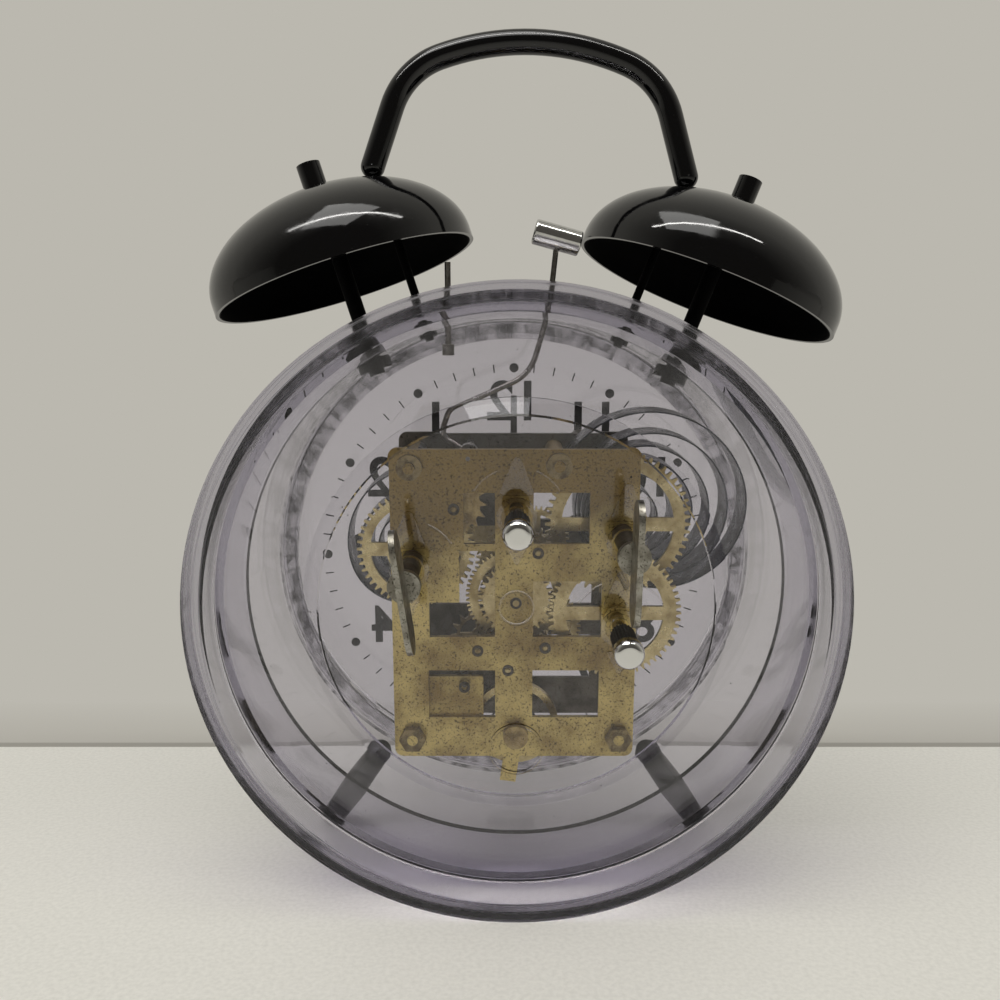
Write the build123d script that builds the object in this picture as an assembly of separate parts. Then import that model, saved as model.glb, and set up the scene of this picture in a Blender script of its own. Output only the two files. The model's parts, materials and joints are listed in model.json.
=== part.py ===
from build123d import *
from math import atan2, cos, degrees, hypot, pi, radians, sin, sqrt, tan
import os

# Twin bell alarm clock in a clear round case, standing on its rear rim and two turned legs.
# Everything is drawn in the clock's own frame and placed upright at the end. There x points to
# the right of somebody who faces the dial, y points up the dial, and z runs forward along the
# clock's axis from the back edge of the case. Millimetres and degrees.

# Case
LEAN = 5.0
RIM_RADIUS = 57.5
RIM_WALL = 3.8
RIM_DEPTH = 9.0
COVER_WALL = 1.6
STEP_RADIUS = 38.0
STEP_SLOPE = 3.0
STEP_HEIGHT = 2.0
SKIRT_WALL = 1.6
SKIRT_END = 21.0
DRUM_REAR_RADIUS = 56.0
DRUM_END = 50.0
DRUM_WALL = 2.0
DRUM_TAPER = 7.0
LEDGE_INNER_RADIUS = 46.0
LEDGE_DEPTH = 1.9
DIAL_Z = 45.4
DIAL_THICKNESS = 1.2
LENS_THICKNESS = 2.2
LENS_RING_WALL = 1.8
CASE_FIT = 0.15

# Legs
LEG_ANGLE = 34.9
LEG_Z = 36.6
LEG_END_RADIUS = 2.5
LEG_BELLY_RADIUS = 2.95
LEG_TIP_RADIUS = 1.6
LEG_BELLY = 10.0
LEG_BODY = 18.5
LEG_STUD_RADIUS = 1.5
LEG_NUT_RADIUS = 2.6
LEG_NUT_HEIGHT = 2.4
TIP_WEAR = 0.25

# Bells, their posts and the carrying handle stand in one plane, which is rolled a little
CROWN_ROLL = 1.9
CROWN_Z = 22.4
BELL_CENTRE = (33.55, 56.85)
BELL_TILT = 20.0
BELL_RADIUS = 25.0
BELL_DEPTH = 17.0
BELL_SKIRT = 2.0
BELL_WALL = 0.9
POST_RADIUS = 1.5
POST_NUT_RADIUS = 3.2
POST_NUT_HEIGHT = 2.2
CAP_NUT_RADIUS = 2.25
CAP_NUT_HEIGHT = 5.2
HANDLE_ROD_RADIUS = 2.25
HANDLE_TOP = 101.0
HANDLE_CROWN_RADIUS = 48.0
HANDLE_CROWN_SWEEP = 21.0
HANDLE_BEND_RADIUS = 14.3
HANDLE_BEND_SWEEP = 52.0
HANDLE_SIDE = 11.4
STAY_RADIUS = 0.8
STAY_FOOT = (19.5, 51.5)
STAY_NUT_RADIUS = 1.7
STAY_NUT_HEIGHT = 1.6
HOLE_FIT = 0.1

# Movement plates and pillars
PLATE_LEFT = -22.0
PLATE_RIGHT = 22.6
PLATE_BOTTOM = -30.1
PLATE_TOP = 28.3
REAR_PLATE_Z = 12.0
FRONT_PLATE_Z = 31.5
PLATE_THICKNESS = 1.0
PLATE_CORNER = 1.6
PILLAR_RADIUS = 1.7
PILLAR_SCREW_RADIUS = 1.0
LOWER_PILLARS = [(-19.2, -26.3), (19.2, -26.3)]
UPPER_PILLARS = [(-7.6, 25.4), (19.0, 25.1)]
NUT_RADIUS = 2.5
NUT_HEIGHT = 1.6
FOOT_RADIUS = 1.8
DIAL_FEET = [(-19.2, -21.0), (19.2, -21.0), (19.2, 17.0), (-13.5, 25.4)]

# Wheel train. The mainspring wheel drives the second wheel, this the centre wheel, and so on
# to the escape wheel. Arbors stand at the distance of their pitch circles.
WHEEL_THICKNESS = 0.8
PIVOT_FIT = 0.05
PIVOT_RADIUS = 0.35
ARBOR_RADIUS = 0.5
TIME_BARREL = (-19.1, 12.9)
GREAT_TEETH = 56
GREAT_MODULE = 0.47
SECOND_PINION_TEETH = 10
SECOND_TEETH = 40
TRAIN_MODULE = 0.3
CENTRE_PINION_TEETH = 28
CENTRE_TEETH = 60
THIRD_PINION_TEETH = 8
THIRD_TEETH = 48
FOURTH_PINION_TEETH = 6
FOURTH_TEETH = 48
FINE_MODULE = 0.25
ESCAPE_PINION_TEETH = 6
ESCAPE_TEETH = 15
ESCAPE_RADIUS = 5.4
ESCAPE_DEPTH = 1.2
ESCAPE_HUB_RADIUS = 1.4
WHEEL_HUB_RADIUS = 1.6
CENTRE_HUB_RADIUS = 2.4
SECOND_ARBOR_RADIUS = 0.7
THIN_ARBOR_RADIUS = 0.4
PALLET_ARBOR_RADIUS = 0.45
THIRD_BEARING = -122.0
ESCAPE_PLACE = (7.0, -9.2)
PALLET_PLACE = (9.5, -16.3)
BALANCE_PLACE = (0.0, -25.5)
BALANCE_RADIUS = 8.2
BALANCE_RIM_WALL = 1.3
BALANCE_RIM_HEIGHT = 1.4
BALANCE_ARM_WIDTH = 1.4
BALANCE_ARM_TURN = 70.0
PALLET_REACH = 4.0
PALLET_SPREAD = 62.0
ARM_WIDTH = 0.9
ANCHOR_BOSS_RADIUS = 1.2
ANCHOR_PIN_RADIUS = 0.3
FORK_GAP = 1.0
FORK_LENGTH = 0.8
FORK_WIDTH = 2.6
REGULATOR_RADIUS = 3.6
REGULATOR_WIDTH = 3.0
REGULATOR_TAIL = 10.5
REGULATOR_THICKNESS = 0.6
REGULATOR_TURN = 8.0

# Ratchets and clicks on the great wheels, which turn freely on the winding arbors
GREAT_HUB_RADIUS = 5.6
GREAT_BOSS_RADIUS = 3.4
GREAT_SPOKE = 2.6
RATCHET_TEETH = 14
RATCHET_RADIUS = 5.0
RATCHET_DEPTH = 0.9
RATCHET_LIFT = 0.5
CLICK_PIN_DISTANCE = 7.6
CLICK_PIN_RADIUS = 0.5
CLICK_EYE_RADIUS = 1.2
CLICK_NOSE_DISTANCE = 5.6
CLICK_NOSE_TURN = 32.0
CLICK_WIDTH = 0.8
CLICK_THICKNESS = 0.9
CLICK_LIFT = 0.4
CLICK_TURN = 90.0

# Alarm train and hammer
ALARM_BARREL = (18.7, 8.1)
ALARM_GREAT_TEETH = 48
ALARM_GREAT_MODULE = 0.445
ALARM_PINION_TEETH = 6
ALARM_WHEEL_BEARING = 128.7
ALARM_ESCAPE_TEETH = 16
ALARM_ESCAPE_RADIUS = 6.0
ALARM_ESCAPE_DEPTH = 1.3
HAMMER_PIVOT = (8.6, 26.6)

# Hands and their setting
ALARM_SET_ARBOR = (-18.27, -2.6)
ALARM_SET_TEETH = 58
ALARM_SET_MODULE = 0.41
ALARM_CENTRE_TEETH = 32
TIME_SET_ARBOR = (0.0, 17.5)
MOTION_MODULE = 0.4
CANNON_TEETH = 12
MINUTE_TEETH = 36
SETTING_PINION_TEETH = 8
MINUTE_PINION_TEETH = 10
HOUR_TEETH = 40
MINUTE_HAND_LENGTH = 34.0
HOUR_HAND_LENGTH = 23.0
ALARM_HAND_LENGTH = 17.0
HAND_THICKNESS = 0.3
HAND_EYE_WALL = 1.3
HAND_TIP_SHARE = 0.6
MINUTE_HAND_WIDTH = 2.0
HOUR_HAND_WIDTH = 2.6
ALARM_HAND_WIDTH = 1.2
HOUR_HAND_TURN = 60.0
ALARM_HAND_TURN = 200.0
MOTION_HUB = 1.0
SETTING_HUB = 1.2

# Knobs and keys
KNOB_END = -9.0
KNOB_CAP_RADIUS = 2.6
KNOB_CAP_LENGTH = 2.4
KNOB_STEM_RADIUS = 2.2
KNOB_STEM_LENGTH = 8.0
KNOB_RIBS = 24
KEY_DISC_RADIUS = 2.8
KEY_DISC_Z = -5.0
KEY_DISC_THICKNESS = 1.0
KEY_SEAT = 0.4
KEY_BLADE_LENGTH = 21.0
KEY_BLADE_WIDTH = 7.0
KEY_BLADE_THICKNESS = 1.0
TIME_KEY_TURN = 1.0
ALARM_KEY_TURN = -8.0
KEY_SHAFT_RADIUS = 1.9

# Mainsprings and hairspring
SPRING_STRIP = 0.3
SPRING_HEIGHT = 7.6
SPRING_Z = 22.4
TIME_SPRING_LOOPS = 7
TIME_SPRING_REACH = 25.0
TIME_SPRING_NEAR = 7.7
TIME_SPRING_BEARING = 160.0
ALARM_SPRING_LOOPS = 6
ALARM_SPRING_REACH = 13.0
ALARM_SPRING_NEAR = 9.0
ALARM_SPRING_BEARING = -17.0
SPRING_ARBOR_RADIUS = 2.4
HAIRSPRING_LOOPS = 6
HAIRSPRING_STRIP = 0.12
HAIRSPRING_REACH = 4.9
HAIRSPRING_START = 0.75
HAIRSPRING_HEIGHT = 1.2
WINDING_PLAY = 0.6

# Heights of the wheels above the back edge of the case
ALARM_SET_Z = 13.9
ALARM_ESCAPE_Z = 15.5
CENTRE_WHEEL_Z = 16.4
GREAT_Z = 19.6
SECOND_WHEEL_Z = 22.5
THIRD_WHEEL_Z = 24.2
FOURTH_WHEEL_Z = 27.0
ESCAPE_WHEEL_Z = 20.4
BALANCE_Z = 16.6
HAIRSPRING_Z = 14.7
REGULATOR_Z = 13.3
MOTION_Z = 34.0
HOUR_WHEEL_Z = 36.6
HOUR_HAND_Z = 47.2
MINUTE_HAND_Z = 47.9
ALARM_HAND_Z = 48.6

# Small helpers


def disc(radius, bottom, top, place=(0, 0)):
    # Round bar along the clock's axis.
    bar = Cylinder(radius, top - bottom, align=(Align.CENTER, Align.CENTER, Align.MIN))
    return Pos(place[0], place[1], bottom) * bar


def tube(outer, inner, bottom, top, place=(0, 0)):
    return disc(outer, bottom, top, place) - disc(inner, bottom - 1, top + 1, place)


def rod(radius, start, end):
    # Round bar between two points.
    line = Vector(*end) - Vector(*start)
    bar = Cylinder(radius, line.length, align=(Align.CENTER, Align.CENTER, Align.MIN))
    return Plane(origin=start, z_dir=line).location * bar


def turned(points):
    # Solid of revolution about z through (radius, height) points.
    outline = Polyline(*[(radius, 0, height) for radius, height in points], close=True)
    return revolve(make_face(outline), Axis.Z)


def around(place, radius, angle):
    return place[0] + radius * cos(radians(angle)), place[1] + radius * sin(radians(angle))


def meet(first, first_distance, second, second_distance, side):
    # Point at the given distances from two others, on the chosen side of the line between them.
    gap = hypot(second[0] - first[0], second[1] - first[1])
    along = (first_distance**2 - second_distance**2 + gap**2) / (2 * gap)
    off = side * sqrt(first_distance**2 - along**2)
    ux = (second[0] - first[0]) / gap
    uy = (second[1] - first[1]) / gap
    return first[0] + along * ux - off * uy, first[1] + along * uy + off * ux


def hexagon_nut(radius, height, bottom, place, bore):
    nut = extrude(RegularPolygon(radius, 6), height)
    return Pos(place[0], place[1], bottom) * nut - disc(bore, bottom - 1, bottom + height + 1, place)


# Case


def drum_outer(z):
    return DRUM_REAR_RADIUS - (z - RIM_DEPTH) * tan(radians(DRUM_TAPER))


def drum_inner(z):
    return drum_outer(z) - DRUM_WALL


def skirt_outer(z):
    return drum_inner(z) - CASE_FIT


COVER_BACK = RIM_DEPTH - STEP_HEIGHT
PLATEAU_BACK = COVER_BACK - STEP_HEIGHT
FLANGE_FRONT = COVER_BACK + COVER_WALL
DIAL_FRONT = DIAL_Z + DIAL_THICKNESS
DIAL_RADIUS = drum_inner(DIAL_FRONT) - CASE_FIT
SLOT_Z = 23.6
SLOT_WIDTH = 2.6
SLOT_FROM = -8.2
SLOT_TO = 4.4
STOP_PIN_PLACE = 12.4
STOP_PIN_RADIUS = 0.55
STOP_PIN_TOP = 60.7
STOP_PIN_FOOT = 44.0
STOP_PIN_COLLAR = 2.0
KNOB_HOLE_RADIUS = 1.75
KEY_HOLE_RADIUS = 2.3
EMBOSS = 0.4
EMBOSS_RADIUS = 4.9
EMBOSS_WALL = 0.5
HUB_HOLE_RADIUS = 2.0


def rear_cover():
    inside = RIM_RADIUS - RIM_WALL
    points = [
        (RIM_RADIUS, 0),
        (RIM_RADIUS, RIM_DEPTH),
        (skirt_outer(RIM_DEPTH), RIM_DEPTH),
        (skirt_outer(SKIRT_END), SKIRT_END),
        (skirt_outer(SKIRT_END) - SKIRT_WALL, SKIRT_END),
        (skirt_outer(FLANGE_FRONT) - SKIRT_WALL, FLANGE_FRONT),
        (STEP_RADIUS, FLANGE_FRONT),
        (STEP_RADIUS - STEP_SLOPE, PLATEAU_BACK + COVER_WALL),
        (0, PLATEAU_BACK + COVER_WALL),
        (0, PLATEAU_BACK),
        (STEP_RADIUS - STEP_SLOPE, PLATEAU_BACK),
        (STEP_RADIUS, COVER_BACK),
        (inside, COVER_BACK),
        (inside, 0),
    ]
    cover = turned(points)
    front = FLANGE_FRONT + 1
    for place in (TIME_BARREL, ALARM_BARREL):
        cover -= disc(KEY_HOLE_RADIUS, 0, front, place)
    for place in (TIME_SET_ARBOR, ALARM_SET_ARBOR):
        cover -= disc(KNOB_HOLE_RADIUS, 0, front, place)
    inner = EMBOSS_RADIUS - EMBOSS_WALL
    cover += tube(EMBOSS_RADIUS, inner, PLATEAU_BACK - EMBOSS, PLATEAU_BACK, BALANCE_PLACE)
    return cover


def case_drum():
    points = [
        (drum_outer(RIM_DEPTH), RIM_DEPTH),
        (drum_outer(DRUM_END), DRUM_END),
        (drum_inner(DRUM_END), DRUM_END),
        (drum_inner(DIAL_Z), DIAL_Z),
        (LEDGE_INNER_RADIUS, DIAL_Z),
        (LEDGE_INNER_RADIUS, DIAL_Z - LEDGE_DEPTH),
        (drum_inner(DIAL_Z - LEDGE_DEPTH), DIAL_Z - LEDGE_DEPTH),
        (drum_inner(RIM_DEPTH), RIM_DEPTH),
    ]
    drum = turned(points)
    slot_middle = (SLOT_FROM + SLOT_TO) / 2
    slot = Box(SLOT_TO - SLOT_FROM, drum_outer(0), SLOT_WIDTH, align=(Align.CENTER, Align.MIN, Align.CENTER))
    drum -= Pos(slot_middle, 0, SLOT_Z) * slot
    pin = (STOP_PIN_PLACE, 0, SLOT_Z)
    drum -= rod(STOP_PIN_RADIUS + PIVOT_FIT, pin, (STOP_PIN_PLACE, DRUM_REAR_RADIUS, SLOT_Z))
    for side in (-1, 1):
        drum -= bell_place(side) * along_bell(POST_RADIUS + HOLE_FIT, POST_FOOT, 0)
        drum -= crown.location * stay(side, STAY_RADIUS + HOLE_FIT)
        drum -= leg_place(side) * Cylinder(LEG_STUD_RADIUS + HOLE_FIT, 4 * DRUM_WALL)
    return drum


def front_lens():
    ring_outer = drum_inner(DRUM_END) - CASE_FIT
    lens = disc(drum_outer(DRUM_END), DRUM_END, DRUM_END + LENS_THICKNESS)
    return lens + tube(ring_outer, ring_outer - LENS_RING_WALL, DIAL_FRONT, DRUM_END)


def dial_disc():
    return tube(DIAL_RADIUS, HUB_HOLE_RADIUS, DIAL_Z, DIAL_FRONT)


# Ground on which the clock stands, as the height along the upward direction

UP = Vector(0, cos(radians(LEAN)), sin(radians(LEAN)))
GROUND = UP.dot(Vector(0, -RIM_RADIUS, 0))


def leg_axis(side):
    tilt = radians(DRUM_TAPER)
    turn = radians(LEG_ANGLE)
    return Vector(side * sin(turn) * cos(tilt), -cos(turn) * cos(tilt), sin(tilt))


def leg_seat(side):
    radius = drum_outer(LEG_Z)
    turn = radians(LEG_ANGLE)
    return Vector(side * radius * sin(turn), -radius * cos(turn), LEG_Z)


def leg_place(side):
    return Plane(origin=leg_seat(side), z_dir=leg_axis(side)).location


def leg_length():
    # The lower edge of the round tip reaches the wear below the ground, before the flat is cut.
    fall = UP.dot(leg_axis(1))
    edge = LEG_TIP_RADIUS * sqrt(1 - fall**2)
    return (GROUND - TIP_WEAR + edge - UP.dot(leg_seat(1))) / fall


def leg(side):
    length = leg_length()
    stud_end = -DRUM_WALL - LEG_NUT_HEIGHT + 0.6
    points = [
        (0, stud_end),
        (LEG_STUD_RADIUS, stud_end),
        (LEG_STUD_RADIUS, 0),
        (LEG_END_RADIUS, 0),
        (LEG_BELLY_RADIUS, LEG_BELLY),
        (LEG_END_RADIUS, LEG_BODY),
        (LEG_TIP_RADIUS, LEG_BODY + 1),
        (LEG_TIP_RADIUS, length),
        (0, length),
    ]
    below = Box(LEG_BODY, LEG_BODY, LEG_BELLY, align=(Align.CENTER, Align.CENTER, Align.MAX))
    tip = leg_seat(side) + leg_axis(side) * length
    ground = tip - UP * (UP.dot(tip) - GROUND)
    cutter = Plane(origin=ground, z_dir=UP).location * below
    return leg_place(side) * turned(points) - cutter


def leg_nuts():
    # Domed nuts on the studs of the legs, inside the drum.
    sag = LEG_NUT_RADIUS**2 / (2 * drum_inner(LEG_Z)) + 0.1
    top = -DRUM_WALL / cos(radians(DRUM_TAPER)) - sag
    points = [
        (LEG_STUD_RADIUS, top),
        (LEG_NUT_RADIUS, top),
        (LEG_NUT_RADIUS, top - LEG_NUT_HEIGHT / 2),
        (LEG_STUD_RADIUS, top - LEG_NUT_HEIGHT),
    ]
    nut = turned(points)
    return [leg_place(side) * nut for side in (-1, 1)]


# Crown: bells, posts and handle

tilt_cos = cos(radians(DRUM_TAPER))
tilt_sin = sin(radians(DRUM_TAPER))
roll_cos = cos(radians(CROWN_ROLL))
roll_sin = sin(radians(CROWN_ROLL))
crown = Plane(
    origin=(0, 0, CROWN_Z),
    x_dir=(roll_cos, roll_sin * tilt_cos, roll_sin * tilt_sin),
    z_dir=(0, -tilt_sin, tilt_cos),
)
DOME_HEIGHT = BELL_DEPTH - BELL_SKIRT
POST_FOOT = -18.5
POST_NUT_SEAT = -15.5
NECK_RADIUS = 1.2
NECK_LENGTH = 3.7
NUT_BORE_DEPTH = 3.9
STAY_NUT_SEAT = 3.5
STAY_END = 5.7


def bell_place(side):
    # The bell's own y axis is its axis, from the middle of its mouth to its apex.
    return crown.location * Pos(side * BELL_CENTRE[0], BELL_CENTRE[1]) * Rot(0, 0, -side * BELL_TILT)


def along_bell(radius, bottom, top):
    return rod(radius, (0, bottom, 0), (0, top, 0))


def dome_face(radius, height, skirt):
    arc = EllipticalCenterArc((0, skirt), radius, height, start_angle=0, arc_size=90)
    edges = [Line((radius, 0), (radius, skirt)), arc, Line(arc @ 1, (0, 0)), Line((0, 0), (radius, 0))]
    return make_face(edges)


def bell(side):
    shell = revolve(dome_face(BELL_RADIUS, DOME_HEIGHT, BELL_SKIRT), Axis.Y)
    inside = dome_face(BELL_RADIUS - BELL_WALL, DOME_HEIGHT - BELL_WALL, BELL_SKIRT)
    shell -= revolve(inside, Axis.Y)
    shell -= along_bell(NECK_RADIUS + HOLE_FIT, 0, BELL_DEPTH + 1)
    placed = bell_place(side) * shell
    return placed - crown.location * stay(side, STAY_RADIUS + HOLE_FIT)


def bell_post(side):
    # The post stands on the drum, carries the bell on a shoulder and ends in a threaded neck.
    inner_height = DOME_HEIGHT - BELL_WALL
    sag = inner_height * (1 - sqrt(1 - (POST_RADIUS / (BELL_RADIUS - BELL_WALL)) ** 2))
    shoulder = BELL_SKIRT + inner_height - sag
    post = along_bell(POST_RADIUS, POST_FOOT, shoulder)
    post += along_bell(NECK_RADIUS, shoulder, BELL_DEPTH + NECK_LENGTH)
    post += along_bell(POST_NUT_RADIUS, POST_NUT_SEAT - POST_NUT_HEIGHT, POST_NUT_SEAT)
    return bell_place(side) * post


def cap_nut(side):
    top = BELL_DEPTH + CAP_NUT_HEIGHT
    nut = along_bell(CAP_NUT_RADIUS, BELL_DEPTH, top)
    nut -= along_bell(NECK_RADIUS + PIVOT_FIT, BELL_DEPTH - 1, BELL_DEPTH + NUT_BORE_DEPTH)
    return bell_place(side) * nut


def handle_path(side):
    top = (0, HANDLE_TOP)
    over = JernArc(top, (side, 0), HANDLE_CROWN_RADIUS, -side * HANDLE_CROWN_SWEEP)
    bend = JernArc(over @ 1, over % 1, HANDLE_BEND_RADIUS, -side * HANDLE_BEND_SWEEP)
    down = Line(bend @ 1, (bend @ 1) + (bend % 1) * HANDLE_SIDE)
    return [over, bend, down]


def stay_line(side):
    # Top end, foot on the drum and direction of the thin rod that carries the handle.
    end = handle_path(side)[-1] @ 1
    foot = Vector(side * STAY_FOOT[0], STAY_FOOT[1])
    return end, foot, (foot - end).normalized()


def stay(side, radius):
    end, foot, direction = stay_line(side)
    return rod(radius, end, foot + direction * STAY_END)


def carrying_handle():
    half = []
    for side in (-1, 1):
        path = Wire(handle_path(side))
        section = Plane(origin=(0, HANDLE_TOP, 0), z_dir=(side, 0, 0)) * Circle(HANDLE_ROD_RADIUS)
        limb = sweep(section, path)
        limb += Pos(path @ 1) * Sphere(HANDLE_ROD_RADIUS)
        half.append(limb + stay(side, STAY_RADIUS))
    return crown.location * (half[0] + half[1])


def stay_nuts():
    # Small round nuts on the ends of the stays, inside the drum.
    nuts = []
    for side in (-1, 1):
        end, foot, direction = stay_line(side)
        start = foot + direction * STAY_NUT_SEAT
        nut = rod(STAY_NUT_RADIUS, start, start + direction * STAY_NUT_HEIGHT)
        nuts.append(crown.location * (nut - stay(side, STAY_RADIUS + PIVOT_FIT)))
    return nuts


def alarm_stop_pin():
    # Thin pin through the drum, with a collar at its lower end.
    foot = (STOP_PIN_PLACE, STOP_PIN_FOOT, SLOT_Z)
    collar_top = (STOP_PIN_PLACE, STOP_PIN_FOOT + STOP_PIN_COLLAR, SLOT_Z)
    pin = rod(STOP_PIN_RADIUS, foot, (STOP_PIN_PLACE, STOP_PIN_TOP, SLOT_Z))
    return pin + rod(2 * STOP_PIN_RADIUS, foot, collar_top)


# Toothed wheels


def tooth_points(teeth, module, phase, leaf):
    # Straight-sided teeth with play between them, slimmer on a pinion than on a wheel.
    pitch_radius = teeth * module / 2
    root = pitch_radius - 1.25 * module
    tip = pitch_radius + (0.85 if leaf else 0.95) * module
    root_share, tip_share = (0.2, 0.09) if leaf else (0.27, 0.11)
    pitch = 2 * pi / teeth
    points = []
    for number in range(teeth):
        middle = radians(phase) + number * pitch
        for radius, share in ((root, -root_share), (tip, -tip_share), (tip, tip_share), (root, root_share)):
            angle = middle + share * pitch
            points.append((radius * cos(angle), radius * sin(angle)))
    return points


def gear(teeth, module, phase, bottom, thickness, place, leaf=False):
    outline = make_face(Polyline(*tooth_points(teeth, module, phase, leaf), close=True))
    return Pos(place[0], place[1], bottom) * extrude(outline, thickness)


def saw_wheel(teeth, radius, depth, phase, bottom, thickness, place, hand=1):
    # Escape, alarm or ratchet wheel with pointed teeth that lean one way.
    pitch = hand * 2 * pi / teeth
    root = radius - depth
    points = []
    for number in range(teeth):
        tip = radians(phase) + number * pitch
        for distance, share in ((radius, 0), (root, 0.12), (root, 0.55)):
            points.append((distance * cos(tip + share * pitch), distance * sin(tip + share * pitch)))
    outline = make_face(Polyline(*points, close=True))
    return Pos(place[0], place[1], bottom) * extrude(outline, thickness)


def crossings(rim, hub, spokes, width, phase, bottom, thickness, place):
    # The windows between the spokes of a wheel.
    windows = tube(rim, hub, bottom - 1, bottom + thickness + 1)
    for number in range(spokes):
        arm = Box(rim + 1, width, thickness + 4, align=(Align.MIN, Align.CENTER, Align.MIN))
        windows -= Pos(0, 0, bottom - 2) * Rot(0, 0, phase + number * 360 / spokes) * arm
    return Pos(place[0], place[1], 0) * windows


def bearing(place, other):
    return degrees(atan2(other[1] - place[1], other[0] - place[0]))


def phase_in_mesh(place, teeth, phase, other, other_teeth):
    # Phase of the other wheel that puts a gap against a tooth of the first.
    line = bearing(place, other)
    return line + 180 + 180 / other_teeth - (phase - line) * teeth / other_teeth


# Coiled strips: half turns whose centres lie on one line through the arbor


def coil_arcs(centre, direction, start, near, reach, loops, hand):
    ux = cos(radians(direction))
    uy = sin(radians(direction))
    arcs = []
    for half in range(2 * loops):
        far_now = start + (reach - start) * (half / (2 * loops)) ** 1.15
        far_next = start + (reach - start) * ((half + 1) / (2 * loops)) ** 1.15
        near_now = start + (near - start) * half / (2 * loops)
        near_next = start + (near - start) * (half + 1) / (2 * loops)
        if half % 2:
            first, second = -near_now, far_next
        else:
            first, second = far_now, -near_next
        middle = (first + second) / 2
        radius = abs(first - second) / 2
        begin = direction if half % 2 == 0 else direction + 180
        place = (centre[0] + middle * ux, centre[1] + middle * uy)
        arcs.append((place, radius, begin, begin + hand * 180))
    return arcs


def hooked_end(centre, direction, reach, hand, post, post_radius):
    # The last stretch swings out to a pillar and hooks round it.
    ux = cos(radians(direction))
    uy = sin(radians(direction))
    wx = centre[0] + reach * ux - post[0]
    wy = centre[1] + reach * uy - post[1]
    along = wx * ux + wy * uy
    radius = (wx**2 + wy**2 - post_radius**2) / (2 * (along + post_radius))
    place = (centre[0] + (reach - radius) * ux, centre[1] + (reach - radius) * uy)
    toward = bearing(place, post)
    sweep_angle = hand * ((hand * (toward - direction)) % 360)
    hook = bearing(post, place)
    last = (post, post_radius, hook, hook - hand * 150)
    return [(place, radius, direction, direction + sweep_angle), last]


def arc_point(arc, share, offset=0):
    place, radius, begin, end = arc
    side = 1 if end > begin else -1
    angle = radians(begin + (end - begin) * share)
    distance = radius - side * offset
    return place[0] + distance * cos(angle), place[1] + distance * sin(angle)


def strip_solid(arcs, thickness, bottom, height):
    half = thickness / 2
    left = [ThreePointArc(*[arc_point(arc, share, half) for share in (0, 0.5, 1)]) for arc in arcs]
    right = [ThreePointArc(*[arc_point(arc, share, -half) for share in (0, 0.5, 1)]) for arc in arcs]
    caps = [Line(left[0] @ 0, right[0] @ 0), Line(left[-1] @ 1, right[-1] @ 1)]
    band = make_face(left + right + caps)
    return Pos(0, 0, bottom) * extrude(band, height)


def least_gap(arcs, thickness):
    # Smallest space between neighbouring turns, measured on points a few degrees apart.
    points = []
    for number, arc in enumerate(arcs):
        for step in range(24):
            points.append((number + step / 24, arc_point(arc, step / 24)))
    gaps = []
    for here, (x, y) in points:
        for there, (other_x, other_y) in points:
            if there - here > 1.2:
                gaps.append(hypot(x - other_x, y - other_y))
    return min(gaps) - thickness


# Places of the arbors, from the sizes of the wheels that mesh

CENTRE = (0.0, 0.0)
GREAT_TO_SECOND = (GREAT_TEETH + SECOND_PINION_TEETH) * GREAT_MODULE / 2
SECOND_TO_CENTRE = (SECOND_TEETH + CENTRE_PINION_TEETH) * TRAIN_MODULE / 2
CENTRE_TO_THIRD = (CENTRE_TEETH + THIRD_PINION_TEETH) * TRAIN_MODULE / 2
THIRD_TO_FOURTH = (THIRD_TEETH + FOURTH_PINION_TEETH) * TRAIN_MODULE / 2
FOURTH_TO_ESCAPE = (FOURTH_TEETH + ESCAPE_PINION_TEETH) * FINE_MODULE / 2
ALARM_GREAT_TO_WHEEL = (ALARM_GREAT_TEETH + ALARM_PINION_TEETH) * ALARM_GREAT_MODULE / 2
SETTING_TO_MINUTE = (SETTING_PINION_TEETH + MINUTE_TEETH) * MOTION_MODULE / 2
MINUTE_TO_CENTRE = (CANNON_TEETH + MINUTE_TEETH) * MOTION_MODULE / 2
HOUR_MODULE = 2 * MINUTE_TO_CENTRE / (MINUTE_PINION_TEETH + HOUR_TEETH)
SECOND = meet(TIME_BARREL, GREAT_TO_SECOND, CENTRE, SECOND_TO_CENTRE, 1)
THIRD = around(CENTRE, CENTRE_TO_THIRD, THIRD_BEARING)
FOURTH = meet(THIRD, THIRD_TO_FOURTH, ESCAPE_PLACE, FOURTH_TO_ESCAPE, -1)
ALARM_WHEEL = around(ALARM_BARREL, ALARM_GREAT_TO_WHEEL, ALARM_WHEEL_BEARING)
MINUTE_WHEEL = meet(TIME_SET_ARBOR, SETTING_TO_MINUTE, CENTRE, MINUTE_TO_CENTRE, 1)

# Plates

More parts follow.
